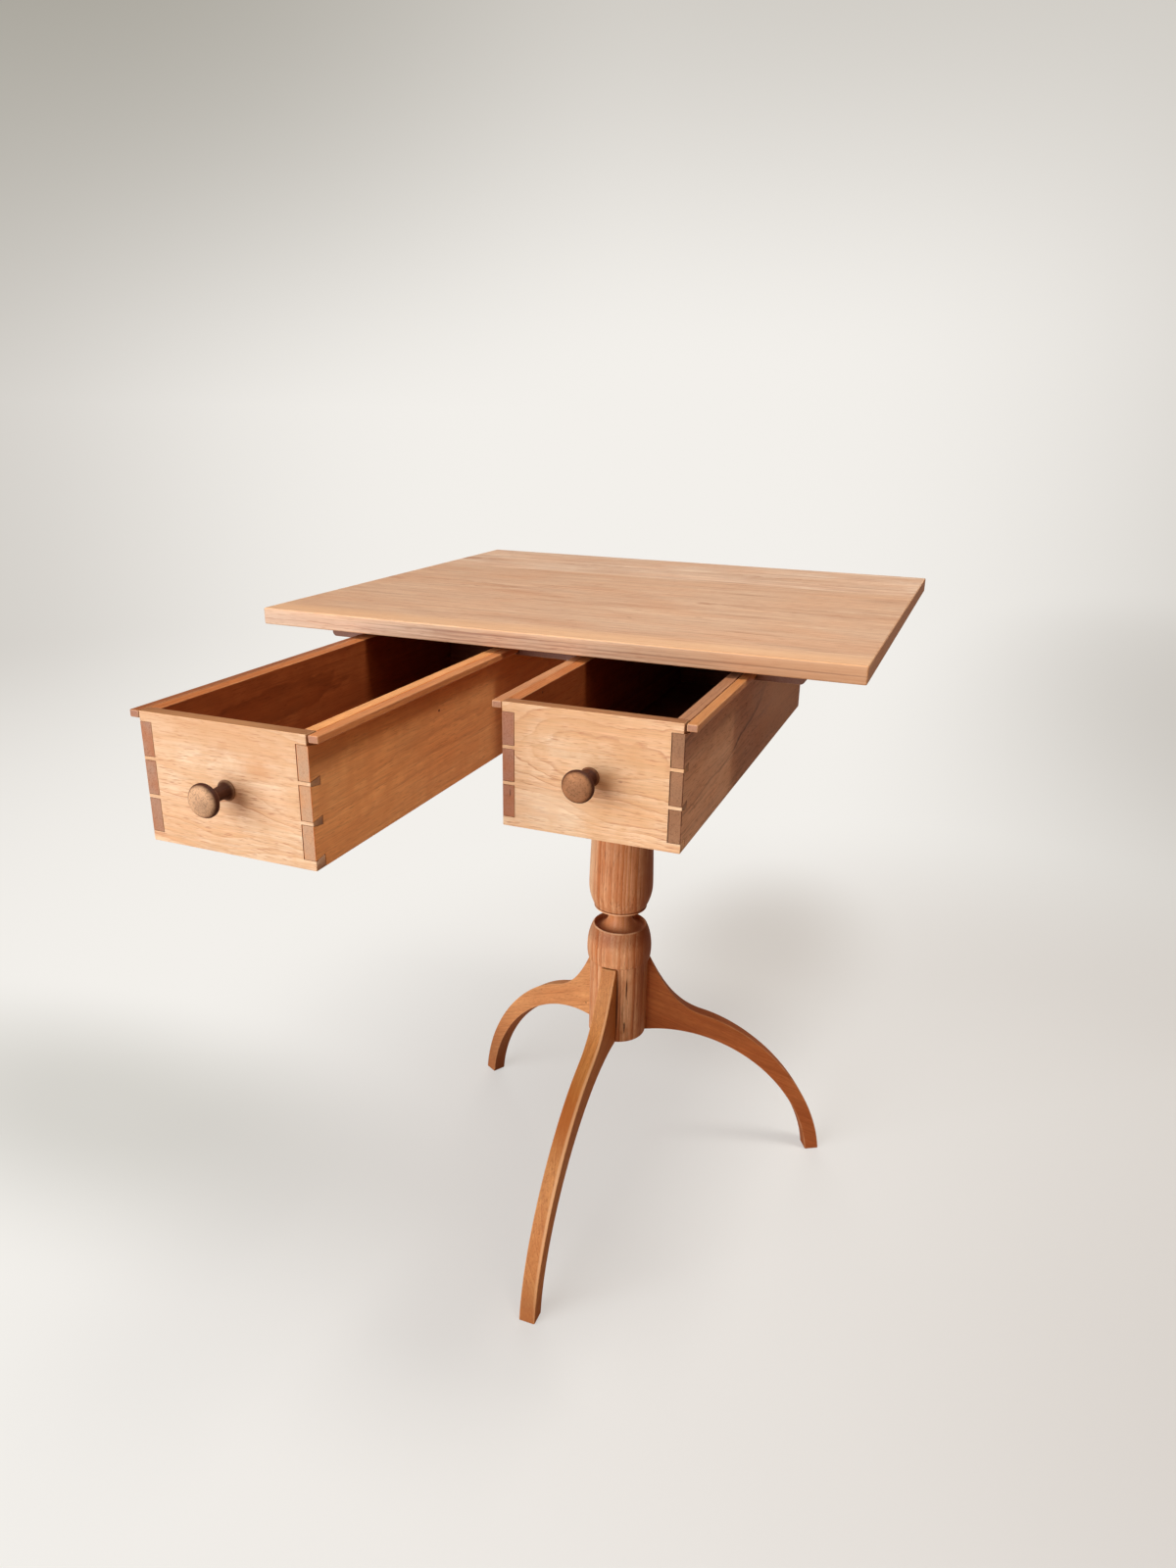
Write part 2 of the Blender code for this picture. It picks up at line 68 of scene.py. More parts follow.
def sums(tree, operation, *values):
    node = put(tree, "ShaderNodeMath", operation=operation)
    for place, value in enumerate(values):
        feed(tree, node.inputs[place], value)
    return node.outputs[0]


def vectors(tree, operation, *values):
    node = put(tree, "ShaderNodeVectorMath", operation=operation)
    for place, value in enumerate(values):
        feed(tree, node.inputs[place], value)
    return node.outputs["Value" if operation in ("LENGTH", "DOT_PRODUCT", "DISTANCE") else "Vector"]


def stepUp(tree, value, low, high, toLow=0.0, toHigh=1.0):
    inputs = {"Value": value, "From Min": low, "From Max": high, "To Min": toLow, "To Max": toHigh}
    return put(tree, "ShaderNodeMapRange", inputs, interpolation_type="SMOOTHSTEP").outputs["Result"]


def noise(tree, vector, seed, detail=2.0, roughness=0.5):
    inputs = {"Vector": vector, "W": seed, "Scale": 1.0, "Detail": detail, "Roughness": roughness}
    return put(tree, "ShaderNodeTexNoise", inputs, noise_dimensions="4D")


def mixColour(tree, factor, first, second, blend="MIX"):
    node = put(tree, "ShaderNodeMix", data_type="RGBA", blend_type=blend)
    for place, value in ((0, factor), (6, first), (7, second)):
        feed(tree, node.inputs[place], value)
    return node.outputs[2]


def newGroup(name, inputs, outputs):
    tree = bpy.data.node_groups.new(name, "ShaderNodeTree")
    for label, kind, value in inputs:
        socket = tree.interface.new_socket(label, in_out="INPUT", socket_type="NodeSocket" + kind)
        socket.default_value = value
    for label, kind in outputs:
        tree.interface.new_socket(label, in_out="OUTPUT", socket_type="NodeSocket" + kind)
    return tree, tree.nodes.new("NodeGroupInput").outputs, tree.nodes.new("NodeGroupOutput").inputs


def fillGroup(tree, group, inputs):
    node = put(tree, "ShaderNodeGroup", node_tree=group)
    for name, value in inputs.items():
        feed(tree, node.inputs[name], value)
    return node


def evenly(tree, value):
    return put(tree, "ShaderNodeCombineXYZ", {"X": value, "Y": value, "Z": value}).outputs[0]


def newMaterial(name):
    material = bpy.data.materials.new(name)
    material.use_nodes = True
    return material, material.node_tree, material.node_tree.nodes["Principled BSDF"]


def paint(red, green, blue):
    # screen colour, 0 to 255, as the shaders want it
    return tuple(((c / 255 + 0.055) / 1.055) ** 2.4 for c in (red, green, blue)) + (1.0,)


# Wood: a board's own space has x along the grain, y across it and z through its thickness

def makeGrowthRings():
    tree, given, out = newGroup("growthRings", [
        ("Board", "Vector", (0, 0, 0)), ("Pith", "Vector", (0, 0, -0.1)), ("Ring Width", "Float", 0.003),
        ("Sway", "Float", 0.004), ("Sway Scale", "Float", 3.0), ("Curl", "Float", 0.0006),
        ("Curl Scale", "Float", 28.0), ("Line Width", "Float", 0.3), ("Seed", "Float", 0.0)],
        [("Line", "Float"), ("Band", "Float"), ("Tone", "Float")])
    moved = given["Board"]
    for size, scale, stretch, shift in (("Sway", "Sway Scale", 3.2, 0.0), ("Curl", "Curl Scale", 2.2, 7.3)):
        spot = vectors(tree, "MULTIPLY", given["Board"], (1.0, stretch, stretch))
        spot = vectors(tree, "MULTIPLY", spot, evenly(tree, given[scale]))
        wave = noise(tree, spot, sums(tree, "ADD", given["Seed"], shift), 1.6).outputs["Color"]
        wave = vectors(tree, "SUBTRACT", wave, (0.5, 0.5, 0.5))
        reach = sums(tree, "MULTIPLY", given[size], 3.0)
        sideways = put(tree, "ShaderNodeCombineXYZ", {"Y": reach, "Z": reach}).outputs[0]
        moved = vectors(tree, "ADD", moved, vectors(tree, "MULTIPLY", wave, sideways))
    fromPith = vectors(tree, "MULTIPLY", vectors(tree, "SUBTRACT", moved, given["Pith"]), (0.0, 1.0, 1.0))
    count = sums(tree, "DIVIDE", vectors(tree, "LENGTH", fromPith), given["Ring Width"])
    years = put(tree, "ShaderNodeTexNoise", {
        "W": sums(tree, "MULTIPLY_ADD", count, 0.31, given["Seed"]), "Scale": 1.0, "Detail": 1.0},
        noise_dimensions="1D").outputs[0]
    count = sums(tree, "MULTIPLY_ADD", years, 1.8, count)
    within = sums(tree, "FRACT", count)
    year = sums(tree, "ADD", sums(tree, "FLOOR", count), given["Seed"])
    ring = put(tree, "ShaderNodeTexWhiteNoise", {"W": year}, noise_dimensions="1D").outputs["Value"]
    # late wood darkens slowly to a thin line, which comes and goes along the board
    start = sums(tree, "SUBTRACT", 0.95, given["Line Width"])
    late = sums(tree, "SUBTRACT", stepUp(tree, within, start, 0.95), stepUp(tree, within, 0.955, 1.0))
    patch = noise(tree, vectors(tree, "MULTIPLY", given["Board"], (9.0, 45.0, 45.0)),
                  sums(tree, "ADD", given["Seed"], 5.1), 2.0).outputs[0]
    late = sums(tree, "MULTIPLY", late, stepUp(tree, patch, 0.34, 0.62, 0.2, 1.0))
    tree.links.new(sums(tree, "MULTIPLY", late, stepUp(tree, ring, 0.0, 1.0, 0.2, 1.0)), out["Line"])
    band = sums(tree, "SUBTRACT", stepUp(tree, within, 0.0, 0.9), stepUp(tree, within, 0.9, 1.0))
    tree.links.new(band, out["Band"])
    tree.links.new(ring, out["Tone"])
    return tree


def makeFibres():
    tree, given, out = newGroup("fibres", [
        ("Board", "Vector", (0, 0, 0)), ("Fleck Size", "Float", 1.0), ("Dash Size", "Float", 1.0),
        ("Seed", "Float", 0.0)],
        [(label, "Float") for label in ("Streak", "Fine", "Flecks", "Dashes", "Mottle", "Figure", "Blush")])
    flecked, dashed = [vectors(tree, "DIVIDE", given["Board"], evenly(tree, given[size]))
                       for size in ("Fleck Size", "Dash Size")]
    for label, place, stretch, detail, low, high in (
            ("Streak", given["Board"], (9.0, 300.0, 300.0), 4.0, 0.36, 0.68),
            ("Fine", given["Board"], (40.0, 1500.0, 1500.0), 2.0, 0.25, 0.75),
            ("Flecks", flecked, (130.0, 1300.0, 1300.0), 1.0, 0.55, 0.72),
            ("Dashes", dashed, (24.0, 560.0, 560.0), 2.0, 0.52, 0.68),
            ("Mottle", given["Board"], (9.0, 34.0, 34.0), 3.0, 0.30, 0.70),
            ("Figure", given["Board"], (80.0, 55.0, 55.0), 3.0, 0.35, 0.70),
            ("Blush", given["Board"], (14.0, 40.0, 40.0), 2.0, 0.35, 0.65)):
        spot = vectors(tree, "MULTIPLY", place, stretch)
        cloud = noise(tree, spot, sums(tree, "ADD", given["Seed"], stretch[0] * 0.37), detail).outputs[0]
        tree.links.new(stepUp(tree, cloud, low, high), out[label])
    return tree


def makeFacing():
    # 1 where the surface faces along the axis, 0 elsewhere
    tree, given, out = newGroup("facing", [
        ("Axis", "Vector", (1, 0, 0)), ("From", "Float", 0.45), ("To", "Float", 0.95)],
        [("One Way", "Float"), ("Both Ways", "Float")])
    normal = put(tree, "ShaderNodeNewGeometry").outputs["Normal"]
    along = vectors(tree, "DOT_PRODUCT", normal, given["Axis"])
    for label, value in (("One Way", along), ("Both Ways", sums(tree, "ABSOLUTE", along))):
        tree.links.new(stepUp(tree, value, given["From"], given["To"]), out[label])
    return tree


def makeEasedEdge():
    # the rounded edges of a piece carry the attribute, broken up as hands wear it; on the post's rim and lip
    # the same mask also carries a painted highlight
    tree, given, out = newGroup("easedEdge", [("Board", "Vector", (0, 0, 0)), ("Seed", "Float", 0.0)],
                                [("Mask", "Float")])
    flagged = put(tree, "ShaderNodeAttribute", attribute_name="eased").outputs["Fac"]
    spot = vectors(tree, "MULTIPLY", given["Board"], (40.0, 90.0, 90.0))
    worn = stepUp(tree, noise(tree, spot, given["Seed"], 3.0).outputs[0], 0.28, 0.6, 0.25, 1.0)
    tree.links.new(sums(tree, "MULTIPLY", flagged, worn), out["Mask"])
    return tree


def makeWoodAndPaintedLightMark():
    # a knot, gum streak, crack or pale band, or a patch of painted shade or painted highlight: a ragged oval
    # at a place in the board
    tree, given, out = newGroup("woodAndPaintedLightMark", [
        ("Board", "Vector", (0, 0, 0)), ("Centre", "Vector", (0, 0, 0)),
        ("Reach", "Vector", (0.01, 0.002, 0.01)), ("Ragged", "Float", 0.3), ("Soft", "Float", 0.45),
        ("Seed", "Float", 0.0)], [("Mask", "Float")])
    away = vectors(tree, "DIVIDE", vectors(tree, "SUBTRACT", given["Board"], given["Centre"]), given["Reach"])
    spot = vectors(tree, "MULTIPLY", away, (1.3, 1.3, 1.3))
    rough = sums(tree, "SUBTRACT", noise(tree, spot, given["Seed"], 3.0).outputs[0], 0.5)
    distance = sums(tree, "MULTIPLY_ADD", rough, sums(tree, "MULTIPLY", given["Ragged"], 3.0),
                    vectors(tree, "LENGTH", away))
    inside = sums(tree, "SUBTRACT", 1.0, given["Soft"])
    tree.links.new(stepUp(tree, distance, inside, 1.0, 1.0, 0.0), out["Mask"])
    return tree


def makeCherry(rings, fibres, facing, easedEdge):
    tree, given, out = newGroup("cherryWood", [
        ("Board", "Vector", (0, 0, 0)), ("Grain Axis", "Vector", (1, 0, 0)),
        ("Inner Axis", "Vector", (0, 0, 0)), ("Seed", "Float", 0.0),
        *((label, "Color", (1, 1, 1, 1)) for label in ("Pale", "Deep", "Line", "End", "Shade Tint", "Edge")),
        ("Pith", "Vector", (0, 0, -0.1)), ("Ring Width", "Float", 0.003), ("Sway", "Float", 0.004),
        ("Sway Scale", "Float", 3.0), ("Curl", "Float", 0.0006), ("Curl Scale", "Float", 28.0),
        ("Line Width", "Float", 0.3), ("Line Strength", "Float", 0.5), ("Band Strength", "Float", 0.3),
        ("Streak Strength", "Float", 0.35), ("Dash Strength", "Float", 0.2), ("Dash Size", "Float", 1.0),
        ("Fleck Strength", "Float", 0.3), ("Fleck Size", "Float", 1.0), ("Mottle Strength", "Float", 0.6),
        ("Figure Strength", "Float", 0.05), ("End Strength", "Float", 0.7), ("Edge Strength", "Float", 0.25),
        ("Polish", "Float", 0.42)],
        [("Color", "Color"), ("Roughness", "Float"), ("Height", "Float")])
    names = ("Board", "Pith", "Ring Width", "Sway", "Sway Scale", "Curl", "Curl Scale", "Line Width", "Seed")
    ring = fillGroup(tree, rings, {name: given[name] for name in names}).outputs
    names = ("Board", "Fleck Size", "Dash Size", "Seed")
    fibre = fillGroup(tree, fibres, {name: given[name] for name in names}).outputs
    end = fillGroup(tree, facing, {"Axis": given["Grain Axis"]}).outputs["Both Ways"]
    shadedFace = fillGroup(tree, facing, {"Axis": given["Inner Axis"]}).outputs["One Way"]
    edge = fillGroup(tree, easedEdge, {"Board": given["Board"], "Seed": given["Seed"]}).outputs["Mask"]

    # broad tone first, then streaks, end grain, ring lines and flecks over it
    broad = sums(tree, "MULTIPLY", fibre["Mottle"], given["Mottle Strength"])
    broad = sums(tree, "MULTIPLY_ADD", ring["Band"], given["Band Strength"], broad)
    broad = sums(tree, "MULTIPLY_ADD", sums(tree, "SUBTRACT", ring["Tone"], 0.5), 0.25, broad)
    colour = mixColour(tree, broad, given["Pale"], given["Deep"])
    streak = sums(tree, "MULTIPLY", fibre["Streak"], given["Streak Strength"])
    colour = mixColour(tree, streak, colour, given["Deep"])
    colour = mixColour(tree, sums(tree, "MULTIPLY", end, given["End Strength"]), colour, given["End"])
    line = sums(tree, "MULTIPLY", ring["Line"], given["Line Strength"])
    line = sums(tree, "MULTIPLY", line, sums(tree, "MULTIPLY_ADD", end, -0.8, 1.0))
    colour = mixColour(tree, line, colour, given["Line"])
    dashes = sums(tree, "MULTIPLY", fibre["Dashes"], given["Dash Strength"])
    colour = mixColour(tree, dashes, colour, given["Line"])
    flecks = sums(tree, "MULTIPLY", fibre["Flecks"], given["Fleck Strength"])
    colour = mixColour(tree, flecks, colour, given["Line"])
    blush = mixColour(tree, 1.0, colour, (1.02, 0.95, 0.90, 1.0), "MULTIPLY")
    colour = mixColour(tree, fibre["Blush"], colour, blush)
    figure = sums(tree, "MULTIPLY", fibre["Figure"], given["Figure Strength"])
    colour = mixColour(tree, figure, colour, given["Deep"])
    light = stepUp(tree, fibre["Fine"], 0.0, 1.0, 0.93, 1.06)
    grey = put(tree, "ShaderNodeCombineColor", {"Red": light, "Green": light, "Blue": light}).outputs[0]
    colour = mixColour(tree, 1.0, colour, grey, "MULTIPLY")
    # painted shade: faces along the Inner Axis (the drawers' insides, the fronts' top edges) are darkened by
    # the tint
    colour = mixColour(tree, shadedFace, colour, mixColour(tree, 1.0, colour, given["Shade Tint"], "MULTIPLY"))
    # rounded edges take the Edge colour: wear, and on the post's rim and lip a painted highlight
    worn = sums(tree, "MULTIPLY", edge, given["Edge Strength"])
    tree.links.new(mixColour(tree, worn, colour, given["Edge"]), out["Color"])

    # a hand-rubbed oil finish: duller in the flecks and on end grain
    dull = sums(tree, "MULTIPLY_ADD", fibre["Mottle"], 0.08, given["Polish"])
    dull = sums(tree, "MULTIPLY_ADD", flecks, 0.25, dull)
    dull = sums(tree, "MULTIPLY_ADD", end, 0.12, dull)
    tree.links.new(sums(tree, "SUBTRACT", dull, sums(tree, "MULTIPLY", edge, 0.06)), out["Roughness"])
    height = sums(tree, "MULTIPLY_ADD", fibre["Flecks"], -0.6, sums(tree, "MULTIPLY", fibre["Fine"], 0.2))
    tree.links.new(sums(tree, "MULTIPLY_ADD", ring["Line"], 0.25, height), out["Height"])
    return tree


cherry = makeCherry(makeGrowthRings(), makeFibres(), makeFacing(), makeEasedEdge())
woodAndPaintedLightMark = makeWoodAndPaintedLightMark()

boardLook = {  # what every board starts from
    "Pale": paint(222, 180, 140), "Deep": paint(196, 148, 108), "Line": paint(160, 108, 72),
    "End": paint(150, 110, 86), "Shade Tint": (1.0, 1.0, 1.0, 1.0), "Edge": paint(238, 190, 140),
    "Pith": (0.0, 0.02, -0.09), "Ring Width": 0.0032, "Sway": 0.004, "Sway Scale": 3.0,
    "Curl": 0.0006, "Curl Scale": 60.0, "Line Width": 0.3, "Line Strength": 0.45, "Band Strength": 0.3,
    "Streak Strength": 0.5, "Dash Strength": 0.3, "Dash Size": 1.0, "Fleck Strength": 0.45, "Fleck Size": 1.0,
    "Mottle Strength": 0.6, "Figure Strength": 0.35,
    "End Strength": 0.85, "Edge Strength": 0.25, "Polish": 0.42, "Seed": 0.0, "Inner Axis": (0.0, 0.0, 0.0),
}
finish = {"bump": 0.08, "bumpDepth": 0.0003, "sheen": 0.4}


def boardTurn(grain, across):
    grain = Vector(grain).normalized()
    depth = grain.cross(Vector(across)).normalized()
    return Matrix((grain, depth.cross(grain), depth)).transposed()


def woodMaterial(name, looks, origin, grain, across, marks=(), seam=None, sheen=finish["sheen"]):
    # looks: one board, or two that meet at seam, a distance across the grain
    material, tree, shader = newMaterial(name)
    spot = put(tree, "ShaderNodeTexCoord").outputs["Object"]
    turn = boardTurn(grain, across)
    turned = {"Vector": spot, "Location": origin, "Rotation": turn.to_euler("XYZ")}
    board = put(tree, "ShaderNodeMapping", turned, vector_type="TEXTURE").outputs[0]
    woods = [fillGroup(tree, cherry, {**boardLook, **look, "Board": board, "Grain Axis": turn.col[0]}).outputs
             for look in looks]
    colour, dull, height = [woods[0][label] for label in ("Color", "Roughness", "Height")]
    if seam is not None:
        place = put(tree, "ShaderNodeSeparateXYZ", {"Vector": board}).outputs["Y"]
        beyond = sums(tree, "GREATER_THAN", place, seam)
        colour = mixColour(tree, beyond, colour, woods[1]["Color"])
    for number, mark in enumerate(marks):
        mask = fillGroup(tree, woodAndPaintedLightMark, {
            "Board": board, "Centre": turn.transposed() @ (Vector(mark["at"]) - Vector(origin)),
            "Reach": mark["reach"], "Ragged": mark.get("ragged", 0.25), "Soft": mark.get("soft", 0.45),
            "Seed": 3.1 * number}).outputs["Mask"]
        share = sums(tree, "MULTIPLY", mask, mark.get("strength", 0.9))
        colour = mixColour(tree, share, colour, mark["colour"])
    bump = put(tree, "ShaderNodeBump", {
        "Height": height, "Strength": finish["bump"], "Distance": finish["bumpDepth"]}).outputs[0]
    tree.links.new(colour, shader.inputs["Base Color"])
    tree.links.new(dull, shader.inputs["Roughness"])
    tree.links.new(bump, shader.inputs["Normal"])
    shader.inputs["Specular IOR Level"].default_value = sheen
    return material


print("wood groups built")


# Mesh helpers

seatGap = 0.0003  # between pieces that are seated on each other
onAxis = 0.00001  # a radius below this is the axis of a turning

cadMesh = {  # how a node's own mesh is read, angles in degrees
    "sameSpot": 0.000002, "flatAngle": 0.5, "cornerAngle": 40.0, "squareOn": 0.999, "onBox": 0.00002,
}


def placeMesh(name, shape):
    mesh = bpy.data.meshes.new(name)
    shape.to_mesh(mesh)
    shape.free()
    piece = bpy.data.objects.new(name, mesh)
    scene.collection.objects.link(piece)
    return piece


def finished(name, shape, material, body, node, creases=radians(50), flatFaces=True):
    bmesh.ops.recalc_face_normals(shape, faces=shape.faces)
    piece = placeMesh(name, shape)
    piece.data.shade_smooth()
    piece.data.materials.append(material)
    piece.data.set_sharp_from_angle(angle=creases)
    if flatFaces:
        evened = piece.modifiers.new("Flat faces stay flat", "WEIGHTED_NORMAL")
        evened.keep_sharp = True
        evened.weight = 100
    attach(piece, body)
    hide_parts(node)
    return piece


def easeEdges(shape, edges, width, segments):
    flag = shape.faces.layers.float.get("eased") or shape.faces.layers.float.new("eased")
    made = bmesh.ops.bevel(shape, geom=list(edges), offset=width, offset_type="OFFSET", segments=segments,
                           profile=0.5, affect="EDGES", clamp_overlap=True)
    for face in made["faces"]:
        face[flag] = 1.0


def easedBox(low, high, width, segments=3):
    shape = bmesh.new()
    bmesh.ops.create_cube(shape, size=1.0)
    for vert in shape.verts:
        vert.co = [a + (b - a) * (c + 0.5) for a, b, c in zip(low, high, vert.co)]
    easeEdges(shape, shape.edges[:], width, segments)
    return shape


def easedCopy(node, width, segments=2):
    # the node's own shape, with the edges between its outer faces rounded
    shape = bmesh.new()
    shape.from_mesh(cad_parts[node].data)
    bmesh.ops.remove_doubles(shape, verts=shape.verts, dist=cadMesh["sameSpot"])
    bmesh.ops.dissolve_limit(shape, angle_limit=radians(cadMesh["flatAngle"]), verts=shape.verts,
                             edges=shape.edges)
    low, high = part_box(node)

    def outer(face):
        middle = face.calc_center_median()
        offBox = [min(abs(middle[k] - low[k]), abs(middle[k] - high[k])) for k in range(3)]
        return any(abs(face.normal[k]) > cadMesh["squareOn"] and offBox[k] < cadMesh["onBox"]
                   for k in range(3))

    edges = [edge for edge in shape.edges if len(edge.link_faces) == 2
             and all(outer(face) for face in edge.link_faces)
             and edge.calc_face_angle() > radians(cadMesh["cornerAngle"])]
    easeEdges(shape, edges, width, segments)
    return shape


def bezier(start, first, second, end, steps):
    points = []
    for i in range(1, steps + 1):
        t = i / steps
        u = 1 - t
        weights = (u ** 3, 3 * u * u * t, 3 * u * t * t, t ** 3)
        points.append(tuple(sum(w * c[k] for w, c in zip(weights, (start, first, second, end)))
                            for k in (0, 1)))
    return points


def softCorners(profile, width, sharper=radians(28)):
    # rounds each corner of a turning's profile, as sandpaper on the lathe leaves it
    points = [profile[0]]
    for before, corner, after in zip(profile, profile[1:], profile[2:]):
        back, ahead = Vector(before) - Vector(corner), Vector(after) - Vector(corner)
        if corner[0] < onAxis or pi - back.angle(ahead) < sharper:
            points.append(corner)
            continue
        start = Vector(corner) + back.normalized() * min(width, back.length * 0.45)
        end = Vector(corner) + ahead.normalized() * min(width, ahead.length * 0.45)
        for t in (0.0, 0.33, 0.67, 1.0):
            points.append(tuple(start * (1 - t) ** 2 + Vector(corner) * 2 * t * (1 - t) + end * t ** 2))
    return points + [profile[-1]]


def lathe(profile, steps, place, axis=(0, 0, 1)):
    shape = bmesh.new()
    rings = []
    for radius, height in profile:
        angles = [2 * pi * i / steps for i in range(1 if radius < onAxis else steps)]
        rings.append([shape.verts.new((radius * cos(a), radius * sin(a), height)) for a in angles])
    for lower, upper in zip(rings, rings[1:]):
        for i in range(steps):
            corners = [lower[i % len(lower)], lower[(i + 1) % len(lower)],
                       upper[(i + 1) % len(upper)], upper[i % len(upper)]]
            shape.faces.new(list(dict.fromkeys(corners)))
    turn = Vector((0, 0, 1)).rotation_difference(Vector(axis)).to_matrix().to_4x4()
    bmesh.ops.transform(shape, matrix=Matrix.Translation(place) @ turn, verts=shape.verts)
    return shape


# Top: one panel glued from boards that run across the stand

topPanel = {
    "edgeRound": 0.0013, "edgeSteps": 4,
    "seam": 0.2274,  # where the two boards meet
    "frontBoard": {"Pale": paint(222, 192, 163), "Deep": paint(196, 155, 124), "Line": paint(156, 98, 72),
                   "End": paint(178, 128, 94), "Pith": (0.0, -0.03, -0.10), "Ring Width": 0.0026,
                   "Sway": 0.006, "Sway Scale": 1.8, "Line Width": 0.25, "Line Strength": 0.6,
                   "Band Strength": 0.2, "Streak Strength": 0.58, "Mottle Strength": 0.45,
                   "Dash Strength": 0.44, "Dash Size": 1.5, "Fleck Strength": 0.4, "Fleck Size": 1.5,
                   "Figure Strength": 0.15, "Seed": 2.0, "Polish": 0.36},
    "backBoard": {"Pith": (0.0, 0.14, -0.09), "Seed": 5.0, "Pale": paint(240, 218, 194)},
    "marks": (
        {"at": (0.0, 0.2274, 0.6675), "reach": (0.6, 0.0006, 0.02), "colour": paint(238, 206, 170),
         "strength": 0.6, "ragged": 0.0, "soft": 0.6},
        {"at": (0.0, -0.0800, 0.6675), "reach": (2.0, 0.030, 0.006), "colour": paint(238, 190, 142),
         "strength": 0.5, "ragged": 0.2, "soft": 1.0},
        {"at": (0.0443, 0.0069, 0.6675), "reach": (0.003, 0.0012, 0.003), "colour": paint(128, 82, 54)},
        # painted shade: the front edge darker towards its right end
        {"at": (0.25, -0.0906, 0.6605), "reach": (0.30, 0.004, 0.02), "colour": paint(204, 148, 100),
         "strength": 0.7, "soft": 0.9, "ragged": 0.1},
        {"at": (-0.06, -0.0906, 0.6628), "reach": (0.22, 0.006, 0.0009), "colour": paint(138, 82, 50),
         "strength": 0.42, "soft": 0.8, "ragged": 0.45},
        {"at": (0.12, -0.0906, 0.6598), "reach": (0.20, 0.006, 0.0009), "colour": paint(132, 78, 46),
         "strength": 0.5, "soft": 0.8, "ragged": 0.45},
        {"at": (0.02, -0.0906, 0.6566), "reach": (0.30, 0.006, 0.0008), "colour": paint(138, 82, 50),
         "strength": 0.4, "soft": 0.8, "ragged": 0.5}),
}


def makeTop():
    low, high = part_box("top")
    middle = (low + high) / 2
    boards = [topPanel["frontBoard"], {**topPanel["frontBoard"], **topPanel["backBoard"]}]
    material = woodMaterial("topCherry", boards, middle, (1, 0, 0), (0, 1, 0), topPanel["marks"],
                            topPanel["seam"] - middle.y)
    shape = easedBox(low, high, topPanel["edgeRound"], topPanel["edgeSteps"])
    return finished("topPanel", shape, material, "stand", "top")


makeTop()
print("top panel made")


# Cleats under the top and their screws

cleats = {
    "edgeRound": 0.0006, "firstSeed": 11.0, "pithStep": 0.03, "pithHeight": 0.06,
    "look": {"Pale": paint(176, 134, 112), "Deep": paint(140, 102, 84), "Line": paint(104, 72, 58),
             "End": paint(140, 106, 94), "Ring Width": 0.003, "Polish": 0.5},
    "screwSteel": (0.42, 0.41, 0.39, 1.0), "screwWorn": paint(120, 108, 96), "screwSpeckle": 900.0,
}


def makeCleats():
    for number, side in enumerate(("left", "centre", "right")):
        node = f"{side}_hanger"
        low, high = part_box(node)
        look = {**cleats["look"], "Seed": cleats["firstSeed"] + number,
                "Pith": (0.0, cleats["pithStep"] * (number - 1), cleats["pithHeight"])}
        material = woodMaterial(f"{side}CleatCherry", [look], (low + high) / 2, (0, 1, 0), (1, 0, 0))
        finished(f"{side}Cleat", easedCopy(node, cleats["edgeRound"]), material, "stand", node)


def screwMaterial():
    material, tree, shader = newMaterial("slottedSteel")
    spot = put(tree, "ShaderNodeTexCoord").outputs["Object"]
    spot = vectors(tree, "MULTIPLY", spot, (cleats["screwSpeckle"],) * 3)
    cloud = noise(tree, spot, 4.0, 4.0).outputs[0]
    worn = stepUp(tree, cloud, 0.35, 0.7)
    colour = mixColour(tree, worn, cleats["screwSteel"], cleats["screwWorn"])
    tree.links.new(colour, shader.inputs["Base Color"])
    tree.links.new(stepUp(tree, cloud, 0.3, 0.7, 0.28, 0.5), shader.inputs["Roughness"])
    shader.inputs["Metallic"].default_value = 1.0
    return material


def makeScrews():
    steel = screwMaterial()
    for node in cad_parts:
        if "_screw_" in node:
            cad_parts[node].data.materials.clear()
            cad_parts[node].data.materials.append(steel)


makeCleats()
makeScrews()
print("cleats and screws made")


# Post, turned, from its flat bottom upwards

